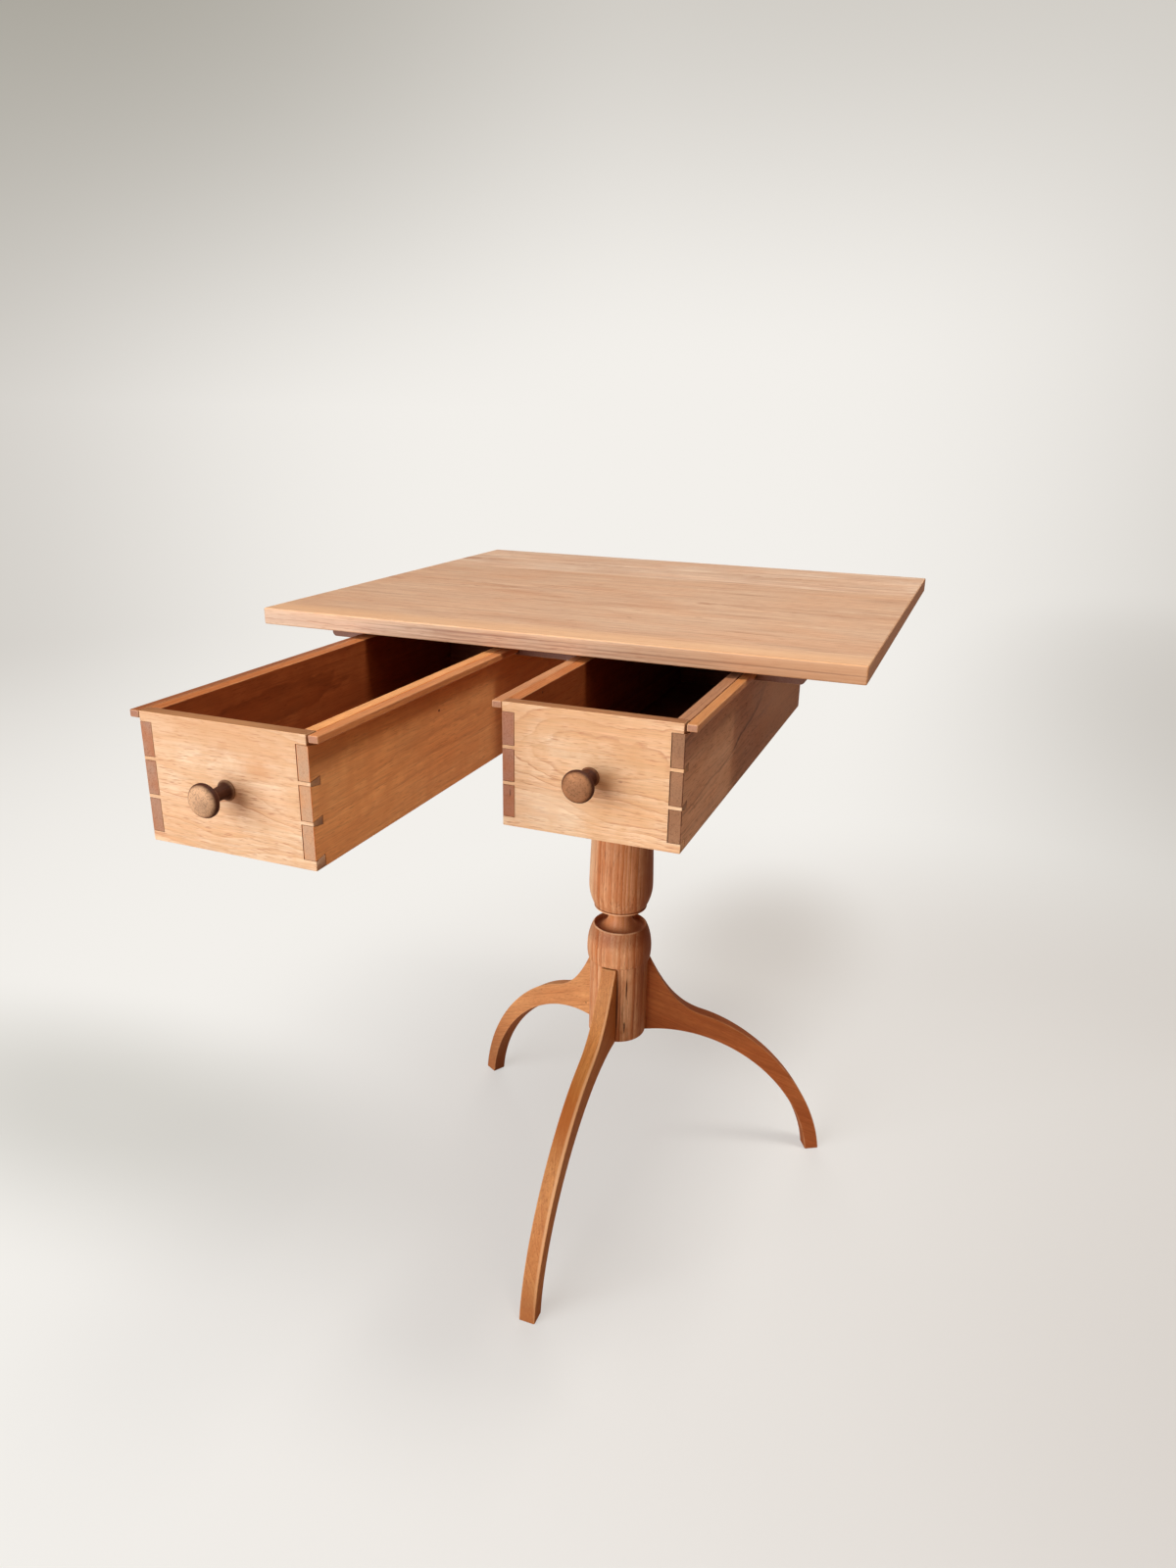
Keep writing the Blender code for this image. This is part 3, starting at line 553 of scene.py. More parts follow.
post = {
    "bottom": 0.1835, "drumRadius": 0.0310, "drumChamfer": 0.0008, "legTop": 0.2728,
    "seatRadius": 0.0332, "seatRound": 0.0010, "bulbRadius": 0.03435, "bulbHeight": 0.0397,
    "bulbPull": (0.25, 0.68),
    "rimRadius": 0.0290, "rimThickness": 0.0014, "cupPull": 0.0095, "coveRise": 0.0100,
    "neckRadius": 0.0125, "neckHeight": 0.0209, "lipRadius": 0.0280, "lipHeight": 0.0022, "lipStep": 0.0009,
    "vaseRadius": 0.0338, "bellyHeight": 0.0246, "bellyPull": (0.4, 0.55),
    "vaseHandle": 0.028, "vaseSwell": 0.005, "vaseTopPull": 0.43, "topRadius": 0.0230,
    "cornerRound": 0.0006, "creases": 34.0, "steps": 144,
    "bulbSteps": 24, "cupSteps": 28, "bellySteps": 20, "vaseSteps": 40,
    # the rim's and lip's rounded edges: wear, and a painted highlight in the pale Edge colour
    "rimWearAndHighlightRise": 0.0007, "lipWearAndHighlightRise": 0.0006, "wearAndHighlightDepth": 0.0018, "wearAndHighlightHeight": 0.0011,
    "housingSpare": 0.0007, "housingBelow": 0.01, "housingAbove": 0.0001, "housingDepth": 0.03,
    "grainMiddle": 0.4, "sheen": 0.22,
    "look": {"Pale": paint(250, 210, 164), "Deep": paint(198, 122, 72), "Line": paint(124, 62, 32),
             "End": paint(150, 96, 62), "Pith": (0.0, -0.236, -0.082), "Ring Width": 0.0062, "Sway": 0.006,
             "Sway Scale": 3.0, "Curl": 0.0005, "Line Width": 0.3, "Line Strength": 0.4, "Band Strength": 0.5,
             "Streak Strength": 0.6, "Dash Strength": 0.35, "Figure Strength": 0.45,
             "Edge": paint(255, 204, 156), "Edge Strength": 1.0, "Mottle Strength": 0.5, "Seed": 21.0,
             "Polish": 0.44},
    "marks": (
        {"at": (0.0185, 0.1106, 0.2490), "reach": (0.0150, 0.0008, 0.004), "colour": paint(64, 30, 16)},
        {"at": (0.0173, 0.1097, 0.2020), "reach": (0.0080, 0.0009, 0.004), "colour": paint(70, 34, 18)},
        # painted shadow of the vase on the bulb's upper part
        {"at": (0.0, 0.1354, 0.3070), "reach": (0.015, 0.1, 0.1), "colour": paint(140, 76, 42),
         "strength": 0.65, "soft": 0.9, "ragged": 0.05},
        {"at": (0.0, 0.1354, 0.3200), "reach": (0.034, 0.0240, 0.0240), "colour": paint(204, 128, 78),
         "strength": 0.6, "soft": 0.5, "ragged": 0.0},
        # painted shade: a dark ring in the step where the lip meets the belly
        {"at": (0.0, 0.1354, 0.3362), "reach": (0.0008, 0.1, 0.1), "colour": paint(92, 44, 24),
         "strength": 0.7, "soft": 0.6, "ragged": 0.0},
        # painted shadow in the gap over the front leg's top
        {"at": (0.0, 0.1040, 0.2736), "reach": (0.0011, 0.0094, 0.008), "colour": paint(60, 28, 16),
         "strength": 0.85, "soft": 0.5, "ragged": 0.0},
        # painted shadow on the drum down the right side of the front leg
        {"at": (0.0094, 0.1056, 0.2280), "reach": (0.048, 0.0014, 0.006), "colour": paint(70, 34, 18),
         "strength": 0.8, "soft": 0.6, "ragged": 0.1},
        # painted shade on the post's right side, partly darker wood
        {"at": (0.0335, 0.1310, 0.3300), "reach": (0.30, 0.024, 0.032), "colour": paint(134, 66, 32),
         "strength": 0.75, "soft": 0.9, "ragged": 0.1},
        # painted light on the vase's lit left side, shaped as a pale sapwood streak
        {"at": (-0.0300, 0.1160, 0.4300), "reach": (0.22, 0.020, 0.020), "colour": paint(255, 226, 186),
         "strength": 0.42, "soft": 0.95, "ragged": 0.25}),
}


def postProfile(top):
    legTop, rim = post["legTop"], post["legTop"] + post["bulbHeight"]
    lipStart = rim + post["neckHeight"]
    lipEnd = lipStart + post["lipHeight"]
    belly = lipEnd + post["bellyHeight"]
    points = [(0, post["bottom"]), (post["drumRadius"] - post["drumChamfer"], post["bottom"]),
              (post["drumRadius"], post["bottom"] + post["drumChamfer"]), (post["drumRadius"], legTop),
              (post["seatRadius"] - post["seatRound"], legTop + seatGap)]
    seat, rimPoint = (post["seatRadius"], legTop + seatGap + post["seatRound"]), (post["rimRadius"], rim)
    pulled = (post["bulbRadius"] - (post["seatRadius"] + post["rimRadius"]) / 8) * 4 / 3
    low, high = [(pulled, legTop + share * post["bulbHeight"]) for share in post["bulbPull"]]
    points += [seat] + bezier(seat, low, high, rimPoint, post["bulbSteps"])
    cup, neck = (post["rimRadius"] - post["rimThickness"], rim + post["rimThickness"]), post["neckRadius"]
    points += [cup] + bezier(cup, (cup[0], rim - post["cupPull"]), (neck, rim),
                             (neck, rim + post["coveRise"]), post["cupSteps"])
    half, rise = post["lipHeight"] / 2, post["bellyHeight"]
    points += [(neck, lipStart), (post["lipRadius"] - half, lipStart), (post["lipRadius"], lipStart + half)]
    points.append((post["lipRadius"], lipEnd))
    start = (post["lipRadius"] - post["lipStep"], lipEnd)
    widen = post["vaseRadius"] - start[0]
    points += [start] + bezier(start, (start[0] + post["bellyPull"][0] * widen, lipEnd + rise / 5),
                               (post["vaseRadius"], lipEnd + post["bellyPull"][1] * rise),
                               (post["vaseRadius"], belly), post["bellySteps"])
    points += bezier((post["vaseRadius"], belly), (post["vaseRadius"], belly + post["vaseHandle"]),
                     (post["topRadius"] + post["vaseSwell"], top - post["vaseTopPull"] * (top - belly)),
                     (post["topRadius"], top), post["vaseSteps"])
    return softCorners(points, post["cornerRound"]) + [(0, top)]


# Legs, sawn to one curve and let into the drum

legs = {
    "turns": {"front_leg": -90.0, "right_leg": 30.0, "left_leg": 150.0}, "turn": 0.8,
    "thickness": 0.0164, "reach": 0.2489, "edgeRound": 0.0011, "footDepth": 0.0163,
    "archHeight": 0.183, "archHandle": 0.093, "footInnerHandle": 0.093, "footInnerLean": 83.0,
    "kneeRadius": 0.0989, "kneeRise": 0.0117, "kneeSlope": 23.1, "kneeUpperHandle": 0.0319,
    "kneeLowerHandle": 0.073, "footOuterHandle": 0.0844, "footOuterLean": 83.3,
    "topHandle": 0.0448, "topLean": 65.6, "topProud": 0.0024, "housing": 0.0006, "steps": 30, "sheen": 0.22,
    "edgeSteps": 3, "cornerAngle": 40.0, "firstSeed": 31.0, "seedStep": 4.0,
    "grainOut": 0.88, "grainDown": 0.47, "middleOut": 0.13, "middleHeight": 0.15,  # how each board lies
    "look": {"Line": paint(136, 70, 32), "End": paint(150, 92, 56), "Pith": (0.0, 0.06, -0.10),
             "Ring Width": 0.0036, "Sway": 0.005, "Sway Scale": 3.5, "Line Strength": 0.35, "Polish": 0.5},
    "looks": {
        "front_leg": {"Pale": paint(210, 146, 80), "Deep": paint(184, 114, 56)},
        "right_leg": {"Pale": paint(188, 112, 62), "Deep": paint(158, 86, 44)},
        "left_leg": {"Pale": paint(222, 162, 106), "Deep": paint(198, 132, 82)}},
    "marks": {
        "front_leg": (
            {"at": (0.0, -0.012, 0.168), "reach": (0.060, 0.05, 0.05), "colour": paint(172, 90, 28),
             "strength": 0.75, "soft": 0.95, "ragged": 0.1},
            # painted light on the front leg's shaded right face
            {"at": (0.0085, -0.010, 0.140), "reach": (0.22, 0.14, 0.0026), "colour": paint(230, 180, 130),
             "strength": 0.6, "soft": 0.6, "ragged": 0.1}),
        "right_leg": (),
        "left_leg": (
            {"at": (-0.0429, 0.1500, 0.1958), "reach": (0.0016, 0.0010, 0.003), "colour": paint(70, 36, 20)},
            {"at": (-0.2100, 0.2530, 0.0200), "reach": (0.10, 0.10, 0.10), "colour": paint(140, 76, 40),
             "strength": 0.65, "soft": 0.9, "ragged": 0.1})},
}


def legShoulder():
    return sqrt(post["drumRadius"] ** 2 - (legs["thickness"] / 2) ** 2) - legs["housing"]


def legOutline():
    shoulder, steps = legShoulder() + seatGap, legs["steps"]
    top = (post["drumRadius"] + legs["topProud"], post["legTop"] - seatGap)
    knee = (legs["kneeRadius"], legs["archHeight"] + legs["kneeRise"])
    toe, heel = (legs["reach"], 0), (legs["reach"] - legs["footDepth"], 0)
    arch = (shoulder, legs["archHeight"])

    def handle(point, length, degrees):
        return (point[0] + length * cos(radians(degrees)), point[1] + length * sin(radians(degrees)))

    points = [(shoulder, top[1]), top]
    points += bezier(top, handle(top, legs["topHandle"], -legs["topLean"]),
                     handle(knee, legs["kneeUpperHandle"], 180 - legs["kneeSlope"]), knee, steps)
    points += bezier(knee, handle(knee, legs["kneeLowerHandle"], -legs["kneeSlope"]),
                     handle(toe, legs["footOuterHandle"], 180 - legs["footOuterLean"]), toe, steps)
    points.append(heel)
    return points + bezier(heel, handle(heel, legs["footInnerHandle"], 180 - legs["footInnerLean"]),
                           handle(arch, legs["archHandle"], 0), arch, steps)


def makePost():
    low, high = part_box("post")
    axis = Vector(((low.x + high.x) / 2, (low.y + high.y) / 2, 0))
    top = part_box("centre_hanger")[0].z - seatGap
    material = woodMaterial("turnedCherry", [post["look"]], axis + Vector((0, 0, post["grainMiddle"])),
                            (0, 0, 1), (1, 0, 0), post["marks"], sheen=post["sheen"])
    shape = lathe(postProfile(top), post["steps"], axis)
    rim = post["legTop"] + post["bulbHeight"]
    worn = ((post["rimRadius"], rim + post["rimWearAndHighlightRise"]),
            (post["lipRadius"], rim + post["neckHeight"] + post["lipWearAndHighlightRise"]))
    # the rim's and lip's rounded faces take the pale Edge colour: wear, and a painted highlight
    flag = shape.faces.layers.float.new("eased")
    for face in shape.faces:
        middle = face.calc_center_median()
        radius = (middle - axis).xy.length
        face[flag] = any(radius > wide - post["wearAndHighlightDepth"] and abs(middle.z - height) < post["wearAndHighlightHeight"]
                         for wide, height in worn)
    piece = finished("turnedPost", shape, material, "stand", "post",
                     radians(post["creases"]), False)
    # shallow flats in the drum for the legs' shoulders
    half = legs["thickness"] / 2 + post["housingSpare"]
    lowCorner = Vector((legShoulder(), -half, post["bottom"] - post["housingBelow"]))
    size = Vector((post["housingDepth"], 2 * half, post["legTop"] + post["housingAbove"] - lowCorner.z))
    for name, turn in legs["turns"].items():
        cutter = bmesh.new()
        bmesh.ops.create_cube(cutter, size=1.0)
        turned = Matrix.Translation(axis) @ Matrix.Rotation(radians(turn + legs["turn"]), 4, "Z")
        for vert in cutter.verts:
            vert.co = turned @ (lowCorner + Vector([s * (c + 0.5) for s, c in zip(size, vert.co)]))
        block = placeMesh(f"{name}Housing", cutter)
        block.hide_render = True
        block.display_type = "WIRE"
        cut = piece.modifiers.new(block.name, "BOOLEAN")
        cut.solver = "EXACT"
        cut.object = block
    return axis


def makeLegs(axis):
    outline = legOutline()
    half = legs["thickness"] / 2
    for number, (node, turn) in enumerate(legs["turns"].items()):
        shape = bmesh.new()
        cap = shape.faces.new([shape.verts.new((a, -half, b)) for a, b in outline])
        grown = bmesh.ops.extrude_face_region(shape, geom=[cap])["geom"]
        moved = [item for item in grown if isinstance(item, bmesh.types.BMVert)]
        bmesh.ops.translate(shape, verts=moved, vec=(0, 2 * half, 0))
        bmesh.ops.recalc_face_normals(shape, faces=shape.faces)
        edges = [edge for edge in shape.edges if edge.calc_face_angle() > radians(legs["cornerAngle"])]
        easeEdges(shape, edges, legs["edgeRound"], legs["edgeSteps"])
        turned = Matrix.Rotation(radians(turn + legs["turn"]), 4, "Z")
        bmesh.ops.transform(shape, matrix=Matrix.Translation(axis) @ turned, verts=shape.verts)
        outward, level = turned @ Vector((1, 0, 0)), turned @ Vector((0, 1, 0))
        grain = outward * legs["grainOut"] - Vector((0, 0, legs["grainDown"]))
        look = {**legs["look"], **legs["looks"][node], "Seed": legs["firstSeed"] + legs["seedStep"] * number}
        middle = axis + outward * legs["middleOut"] + Vector((0, 0, legs["middleHeight"]))
        material = woodMaterial(node.replace("_leg", "LegCherry"), [look], middle, grain, grain.cross(level),
                                legs["marks"][node], sheen=legs["sheen"])
        finished(node.replace("_leg", "Leg"), shape, material, "stand", node)


postAxis = makePost()
makeLegs(postAxis)
print("post and legs made")


# Drawers

drawers = {
    "edgeRound": 0.0005, "edgeSteps": 2, "stripRound": 0.0008, "sheen": 0.22,
    "pinTrim": 0.0010, "pinHeight": 0.0095,  # the right end of each front stands back from the strip
    # painted shade: the drawers' inside faces and the fronts' top edges are darkened by these tints
    "insideShade": (0.56, 0.39, 0.31, 1.0), "rimShade": (0.32, 0.20, 0.13, 1.0),
    "seeds": {"strip": (67.0, 40), "board": (71.0, 30), "knob": (83.0, 50)},  # first, and more for each metre
    # what both drawers share
    "front": {"Line": paint(166, 84, 44), "Sway Scale": 8.0, "Curl": 0.0006, "Curl Scale": 90.0,
              "Line Width": 0.18, "Line Strength": 0.55, "Fleck Strength": 0.55, "Dash Strength": 0.2,
              "Figure Strength": 0.6},
    "left_side": {"Line": paint(120, 62, 30), "Line Strength": 0.6, "Figure Strength": 0.6},
    "right_side": {"Edge Strength": 0.9},
    # back and bottom dark brown: painted shade inside the drawers
    "back": {"Pale": paint(132, 76, 44), "Deep": paint(106, 56, 30)},
    "bottom": {"Pale": paint(140, 84, 50), "Deep": paint(114, 64, 36)},
    "strip": {"Ring Width": 0.0026, "End": paint(176, 130, 104)},
    # the knob's side grain very dark: painted shade under the head, partly dark wood; its end-grain face
    # stays pale
    "knob": {"Pale": paint(78, 38, 20), "Deep": paint(54, 25, 13), "Line": paint(48, 24, 13),
             "Ring Width": 0.0022, "Pith": (0.0, 0.03, -0.01), "End Strength": 0.9, "Polish": 0.6},
    # what each has of its own
    "left": {
        "front": {"Pale": paint(243, 220, 188), "Deep": paint(217, 169, 122), "End": paint(92, 52, 34),
                  "Seed": 41.0, "Pith": (0.0, 0.020, -0.055), "Sway": 0.011},
        "left_side": {"Pale": paint(210, 140, 86), "Deep": paint(176, 102, 54), "End": paint(170, 137, 116),
                      "Seed": 43.0},
        "right_side": {"Pale": paint(240, 180, 118), "Deep": paint(214, 146, 90), "End": paint(188, 157, 130),
                       "Edge": paint(206, 120, 60), "Seed": 47.0, "Line Strength": 0.25,
                       "Figure Strength": 0.7},
        "left_strip": {"Pale": paint(160, 96, 58), "Deep": paint(132, 74, 42)},
        "right_strip": {"Pale": paint(214, 148, 92), "Deep": paint(188, 118, 70)},
        "knob": {"End": paint(221, 177, 137)},
    },
    "right": {
        "front": {"Pale": paint(248, 223, 188), "Deep": paint(222, 172, 122), "End": paint(84, 48, 32),
                  "Seed": 53.0, "Pith": (0.0, 0.016, -0.060), "Sway": 0.010},
        "left_side": {"Pale": paint(208, 138, 84), "Deep": paint(174, 102, 54), "End": paint(172, 128, 108),
                      "Seed": 59.0},
        "right_side": {"Pale": paint(214, 166, 127), "Deep": paint(188, 137, 99), "Line": paint(66, 38, 26),
                       "End": paint(140, 101, 72), "Edge": paint(92, 52, 32), "Seed": 61.0,
                       "Line Strength": 0.85, "Line Width": 0.16, "Pith": (0.0, 0.01, -0.07),
                       "Ring Width": 0.0085, "Sway": 0.012, "Sway Scale": 3.6},
        "left_strip": {"Pale": paint(204, 148, 104), "Deep": paint(176, 116, 76)},
        "right_strip": {"Pale": paint(202, 140, 84), "Deep": paint(176, 112, 62)},
        "knob": {"End": paint(190, 135, 93)},
    },
    "marks": {
        "left_drawer_front": (
            # darker along the top of the front: painted shade, partly the board's figure
            {"at": (-0.0985, -0.3354, 0.6420), "reach": (0.12, 0.022, 0.03), "colour": paint(210, 156, 106),
             "strength": 0.6, "soft": 0.95, "ragged": 0.2},
            {"at": (-0.0740, -0.3354, 0.6225), "reach": (0.020, 0.010, 0.02), "colour": paint(206, 138, 80),
             "strength": 0.5, "soft": 0.95, "ragged": 0.35}),
        "right_drawer_front": (
            # darker along the top of the front: painted shade, partly the board's figure
            {"at": (0.0985, -0.2183, 0.6420), "reach": (0.12, 0.020, 0.03), "colour": paint(214, 160, 110),
             "strength": 0.3, "soft": 0.95, "ragged": 0.2},
            # darker right of the knob: painted shadow of the knob, partly the board's figure
            {"at": (0.1220, -0.2183, 0.6210), "reach": (0.034, 0.014, 0.03), "colour": paint(206, 148, 94),
             "strength": 0.45, "soft": 0.95, "ragged": 0.3},
            # painted light: paler lower left of the front, where the left drawer shades it
            {"at": (0.0680, -0.2183, 0.5800), "reach": (0.040, 0.020, 0.03), "colour": paint(252, 228, 194),
             "strength": 0.4, "soft": 0.95, "ragged": 0.3},
            {"at": (0.1198, -0.2183, 0.6044), "reach": (0.0026, 0.0012, 0.003), "colour": paint(160, 92, 58),
             "strength": 0.6, "soft": 0.8}),
        "left_drawer_right_side": (
            {"at": (-0.035, -0.1788, 0.6241), "reach": (0.0018, 0.0011, 0.003),
             "colour": paint(58, 28, 16)},),
        "right_drawer_right_side": (
            # painted reflection of the pale backdrop on the back part of the side
            {"at": (0.1620, 0.1000, 0.6050), "reach": (0.15, 0.06, 0.02), "colour": paint(226, 192, 162),
             "strength": 0.65, "soft": 0.95, "ragged": 0.2},
            {"at": (0.1575, 0.0000, 0.6488), "reach": (0.45, 0.0016, 0.05), "colour": paint(140, 92, 64),
             "strength": 0.65, "soft": 0.4, "ragged": 0.0}),
        "right_drawer_left_side": (
            {"at": (0.0438, -0.1712, 0.6448), "reach": (0.0014, 0.0011, 0.002), "colour": paint(40, 18, 10)},
            {"at": (0.0407, -0.2183, 0.5850), "reach": (0.003, 0.0034, 0.0004), "colour": paint(58, 30, 22)}),
    },
}

knob = {
    "length": 0.026, "headRadius": 0.0112, "rim": 0.0012, "dome": 0.0048, "neckRadius": 0.0044,
    "baseRadius": 0.0071, "neckReach": 0.0105, "domePull": (0.9, 0.5), "steps": 72,
    "baseSteps": 14, "neckSteps": 16, "domeSteps": 18,
    "cornerRound": 0.0005, "sharper": 24.0, "creases": 40.0,
}


def knobProfile():
    widest = knob["length"] - knob["dome"]
    under = widest - knob["rim"]
    base, neck = (knob["baseRadius"], seatGap), (knob["neckRadius"], knob["neckReach"])
    head = knob["headRadius"]
    points = [(0, seatGap), base]
    points += bezier(base, (neck[0], neck[1] / 4), (neck[0], neck[1] / 2), neck, knob["baseSteps"])
    points += bezier(neck, (neck[0], (neck[1] + under) / 2), (head, under - knob["rim"]), (head, under),
                     knob["neckSteps"])
    rim = (head, widest)
    points += [rim] + bezier(rim, (head * knob["domePull"][0], knob["length"] - knob["dome"] / 4),
                             (head * knob["domePull"][1], knob["length"]), (0, knob["length"]),
                             knob["domeSteps"])
    return softCorners(points, knob["cornerRound"], radians(knob["sharper"]))


def trimPin(shape, high):
    # the dark slot that shows beside the right strip
    for vert in shape.verts:
        if vert.co.x > high.x - drawers["pinTrim"] and vert.co.z > high.z - drawers["pinHeight"]:
            vert.co.x -= drawers["pinTrim"]


def drawerSeed(kind, place):
    first, more = drawers["seeds"][kind]
    return first + place * more


def makeDrawer(side):
    body, looks = f"{side}_drawer", drawers[side]
    low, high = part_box(f"{body}_front")
    middle = (low + high) / 2

    shape = easedCopy(f"{body}_front", drawers["edgeRound"])
    trimPin(shape, high)
    # painted shade: the front's upward-facing top edge is darkened by the rim tint
    look = {**drawers["front"], **looks["front"], "Inner Axis": (0.0, 0.0, 1.0),
            "Shade Tint": drawers["rimShade"]}
    material = woodMaterial(f"{side}FrontCherry", [look], middle, (1, 0, 0), (0, 0, 1),
                            drawers["marks"][f"{body}_front"])
    finished(f"{side}DrawerFront", shape, material, body, f"{body}_front")

    for word, inward in (("left", 1.0), ("right", -1.0)):
        name, node = f"{side}Drawer{word.title()}Side", f"{body}_{word}_side"
        nodeLow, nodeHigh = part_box(node)
        look = {**drawers[f"{word}_side"], **looks[f"{word}_side"], "Inner Axis": (inward, 0.0, 0.0),
                "Shade Tint": drawers["insideShade"]}
        material = woodMaterial(f"{name}Cherry", [look], (nodeLow + nodeHigh) / 2, (0, 1, 0), (0, 0, 1),
                                drawers["marks"].get(node, ()), sheen=drawers["sheen"])
        shape = easedCopy(node, drawers["edgeRound"])
        finished(name, shape, material, body, node)

        name, node = f"{side}Drawer{word.title()}Strip", f"{body}_{word}_strip"
        nodeLow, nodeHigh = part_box(node)
        look = {**drawers["strip"], **looks[f"{word}_strip"], "Seed": drawerSeed("strip", nodeLow.x)}
        material = woodMaterial(f"{name}Cherry", [look], (nodeLow + nodeHigh) / 2, (0, 1, 0), (0, 0, 1))
        shape = easedBox(nodeLow, nodeHigh, drawers["stripRound"])
        finished(name, shape, material, body, node)

    for word, across, slot in (("back", (0, 0, 1), "drawer_side_wood"),
                               ("bottom", (0, 1, 0), "drawer_bottom_wood")):
        name, node = f"{side}Drawer{word.title()}", f"{body}_{word}"
        nodeLow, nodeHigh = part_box(node)
        look = {**drawers[word], "Seed": drawerSeed("board", nodeLow.x)}
        material = woodMaterial(f"{name}Wood", [look], (nodeLow + nodeHigh) / 2, (1, 0, 0), across)
        shape = easedBox(nodeLow, nodeHigh, drawers["edgeRound"], drawers["edgeSteps"])
        finished(name, shape, material, body, node)

    place = Vector((middle.x, low.y, middle.z))
    look = {**drawers["knob"], **looks["knob"], "Seed": drawerSeed("knob", place.x)}
    material = woodMaterial(f"{side}KnobWood", [look], place, (0, 1, 0), (0, 0, 1), sheen=drawers["sheen"])
    shape = lathe(knobProfile(), knob["steps"], place, (0, -1, 0))
    finished(f"{side}Knob", shape, material, body, f"{body}_knob",
             radians(knob["creases"]), False)


for side in ("left", "right"):
    makeDrawer(side)
print("drawers made")


# Floor, light and camera

studio = {
    "floorColour": paint(220, 220, 218), "floorBounce": paint(166, 128, 100), "floorRadius": 30.0,
    "floorSteps": 96, "floorDrop": 0.0004, "floorRoughness": 0.85,
    "paper": paint(243, 240, 235), "paperAside": paint(213, 209, 203), "paperAbove": paint(206, 202, 195),
    "paperLeft": paint(164, 160, 150),
    "viewer": (0.33, -0.83, 0.0),  # the tones are laid out as seen from here
    "behind": (-0.33, 0.944, 0.0),  # past the stand, where the paper is brightest
    "leftward": (-0.90, 0.44, 0.0),
    "paintedPaperShades": (  # broad soft painted shade on the paper, the third one the stand's painted shadow behind the post
        {"place": (-0.62, -0.02, 0.0), "reach": (0.60, 0.26, 1.0), "tone": paint(206, 203, 196)},
        {"place": (1.10, 2.20, 0.0), "reach": (1.20, 3.20, 1.0), "tone": paint(196, 191, 184)},
        # painted shadow of the stand on the paper behind the post
        {"place": (0.04, 0.72, 0.0), "reach": (0.24, 0.42, 1.0), "tone": paint(198, 191, 183)},
        {"place": (0.80, -0.05, 0.0), "reach": (0.75, 0.75, 1.0), "tone": paint(202, 196, 190)}),
    "glowMiddle": (0.45, 0.25, 0.0), "nearGlow": 0.48,
    "ambient": 0.13, "ambientColour": paint(255, 192, 148), "gloss": 0.18,
    "lampAim": (0.0, 0.05, 0.45),
    "lamps": {
        "windowLight": {"place": (-1.70, -3.165, 1.25), "size": 3.3, "power": 182.0,
                        "colour": (1.0, 1.05, 1.10)},
        "ceilingLight": {"place": (0.70, -0.15, 2.6), "size": 0.5, "power": 33.0,
                         "colour": (1.0, 0.97, 0.92)},
        "fillLight": {"place": (1.50, -0.90, 2.6), "size": 1.2, "power": 6.0, "colour": (1.0, 0.88, 0.74)},
        "backLight": {"place": (-1.30, 3.30, 1.70), "size": 2.6, "power": 52.0, "colour": (1.0, 0.97, 0.93),
                      "mirrored": False}},  # kept out of the polish
}


def makePaperTone():
    tree, given, out = newGroup("paperTone", [("Direction", "Vector", (0, 1, 0))],
                                [("Color", "Color"), ("Left", "Float")])
    flat = vectors(tree, "NORMALIZE", vectors(tree, "MULTIPLY", given["Direction"], (1.0, 1.0, 0.0)))
    middle = stepUp(tree, vectors(tree, "DOT_PRODUCT", flat, studio["behind"]), 0.84, 1.0)
    tree.links.new(mixColour(tree, middle, studio["paperAside"], studio["paper"]), out["Color"])
    left = stepUp(tree, vectors(tree, "DOT_PRODUCT", flat, studio["leftward"]), 0.70, 1.0)
    tree.links.new(left, out["Left"])
    return tree


def seenRays(tree):
    # camera and transmission rays see the paper in full, gloss sees it dimmer
    path = put(tree, "ShaderNodeLightPath").outputs
    clear = sums(tree, "MAXIMUM", path["Is Camera Ray"], path["Is Transmission Ray"])
    return sums(tree, "MAXIMUM", clear, sums(tree, "MULTIPLY", path["Is Glossy Ray"], studio["gloss"]))


def makeFloor(paperTone):
    shape = bmesh.new()
    bmesh.ops.create_circle(shape, cap_ends=True, radius=studio["floorRadius"], segments=studio["floorSteps"])
    floor = placeMesh("studioFloor", shape)
    floor.location.z = -studio["floorDrop"]
    material, tree, shader = newMaterial("palePaper")
    seen = seenRays(tree)
    ground = mixColour(tree, seen, studio["floorBounce"], studio["floorColour"])
    tree.links.new(ground, shader.inputs["Base Color"])
    shader.inputs["Roughness"].default_value = studio["floorRoughness"]
    spot = put(tree, "ShaderNodeTexCoord").outputs["Object"]
    distance = vectors(tree, "DISTANCE", spot, studio["glowMiddle"])
    outward = vectors(tree, "SUBTRACT", spot, studio["viewer"])
    tone = fillGroup(tree, paperTone, {"Direction": outward}).outputs["Color"]
    tone = mixColour(tree, stepUp(tree, distance, 1.2, 4.0), studio["paper"], tone)
    for paperShade in studio["paintedPaperShades"]:
        away = vectors(tree, "DIVIDE", vectors(tree, "SUBTRACT", spot, paperShade["place"]), paperShade["reach"])
        shade = stepUp(tree, vectors(tree, "LENGTH", away), 0.1, 1.0, 0.8, 0.0)
        tone = mixColour(tree, shade, tone, paperShade["tone"])
    glow = put(tree, "ShaderNodeEmission", {"Color": tone, "Strength": 1.0}).outputs[0]
    share = stepUp(tree, distance, 0.45, 1.20, studio["nearGlow"], 1.0)
    mixed = put(tree, "ShaderNodeMixShader")
    tree.links.new(sums(tree, "MULTIPLY", share, seen), mixed.inputs[0])
    tree.links.new(shader.outputs[0], mixed.inputs[1])
    tree.links.new(glow, mixed.inputs[2])
    tree.links.new(mixed.outputs[0], tree.nodes["Material Output"].inputs["Surface"])
    floor.data.materials.append(material)


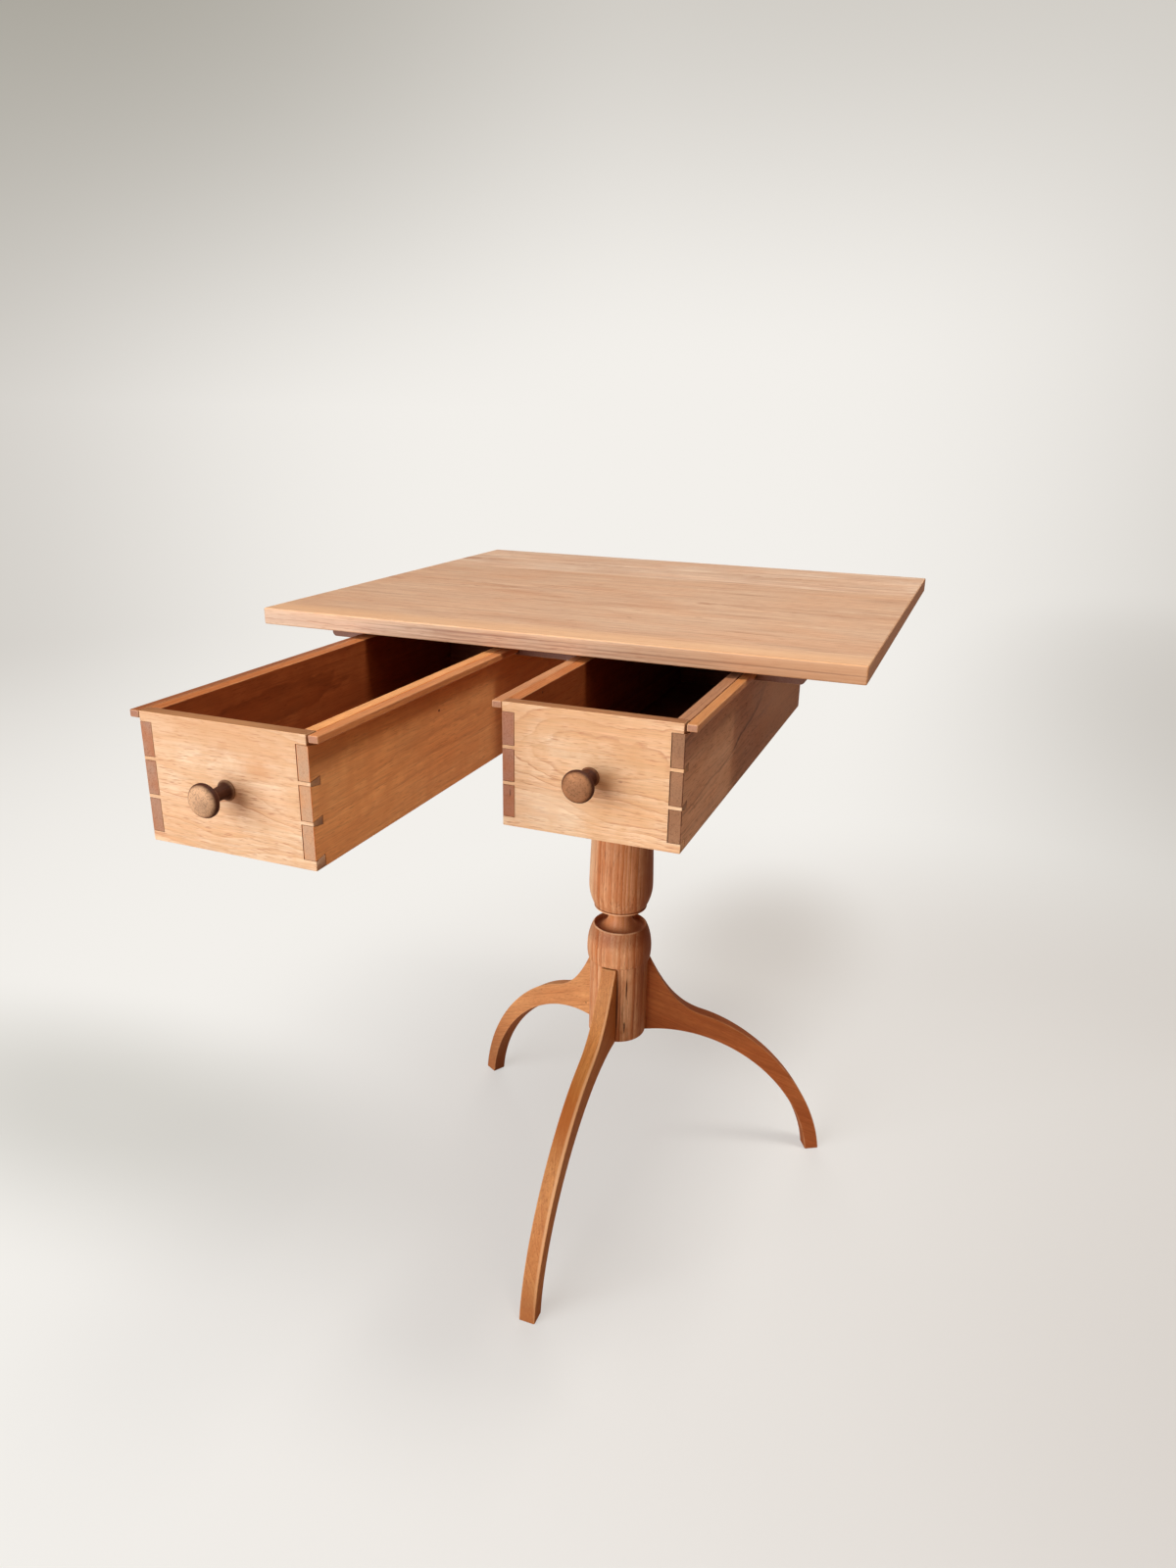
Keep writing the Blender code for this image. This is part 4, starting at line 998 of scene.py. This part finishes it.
def makeWorld(paperTone):
    world = bpy.data.worlds.new("studio")
    scene.world = world
    world.use_nodes = True
    tree = world.node_tree
    tree.nodes.clear()
    direction = put(tree, "ShaderNodeTexCoord").outputs["Generated"]
    height = put(tree, "ShaderNodeSeparateXYZ", {"Vector": direction}).outputs["Z"]
    paper = fillGroup(tree, paperTone, {"Direction": direction}).outputs
    tone = mixColour(tree, stepUp(tree, height, 0.03, 0.36), paper["Color"], studio["paperAbove"])
    rise = put(tree, "ShaderNodeMapRange", {"Value": height, "From Max": 0.3}).outputs["Result"]
    left = sums(tree, "MULTIPLY", paper["Left"], rise)
    tone = mixColour(tree, left, tone, studio["paperLeft"])
    seen = seenRays(tree)
    colour = mixColour(tree, seen, studio["ambientColour"], tone)
    strength = sums(tree, "MULTIPLY_ADD", seen, 1.0 - studio["ambient"], studio["ambient"])
    sky = put(tree, "ShaderNodeBackground", {"Color": colour, "Strength": strength})
    tree.links.new(sky.outputs[0], put(tree, "ShaderNodeOutputWorld").inputs["Surface"])


def makeLamp(name, place, size, power, colour, mirrored=True):
    lamp = bpy.data.lights.new(name, "AREA")
    lamp.size = size
    lamp.energy = power
    lamp.color = colour
    holder = bpy.data.objects.new(name, lamp)
    scene.collection.objects.link(holder)
    holder.location = place
    holder.visible_glossy = mirrored
    aim = Vector(studio["lampAim"]) - Vector(place)
    holder.rotation_euler = aim.to_track_quat("-Z", "Y").to_euler()


view = {
    "place": (0.3329, -0.8255, 0.8312), "yaw": 21.834, "pitch": 19.494, "roll": 0.8575,
    "focal": 1073.85, "centre": (588.84, 798.47), "image": (1200, 1600), "sensor": 36, "clip": (0.01, 60),
}


def makeCamera():
    yaw, pitch, roll = [radians(view[name]) for name in ("yaw", "pitch", "roll")]
    ahead = Vector((-sin(yaw) * cos(pitch), cos(yaw) * cos(pitch), -sin(pitch)))
    right = Vector((cos(yaw), sin(yaw), 0))
    up = right.cross(ahead)
    tiltedRight, tiltedUp = right * cos(roll) + up * sin(roll), up * cos(roll) - right * sin(roll)
    camera = bpy.data.cameras.new("photoCamera")
    holder = bpy.data.objects.new("photoCamera", camera)
    scene.collection.objects.link(holder)
    turn = Matrix((tiltedRight, tiltedUp, -ahead)).transposed().to_4x4()
    holder.matrix_world = Matrix.Translation(view["place"]) @ turn
    width, height = view["image"]
    camera.sensor_fit = "VERTICAL"
    camera.sensor_height = view["sensor"]
    camera.lens = view["sensor"] * view["focal"] / height
    camera.shift_x = (width / 2 - view["centre"][0]) / height
    camera.shift_y = (view["centre"][1] - height / 2) / height
    camera.clip_start, camera.clip_end = view["clip"]
    scene.camera = holder


paperTone = makePaperTone()
makeFloor(paperTone)
makeWorld(paperTone)
for name, lamp in studio["lamps"].items():
    makeLamp(name, **lamp)
makeCamera()
print("studio set")
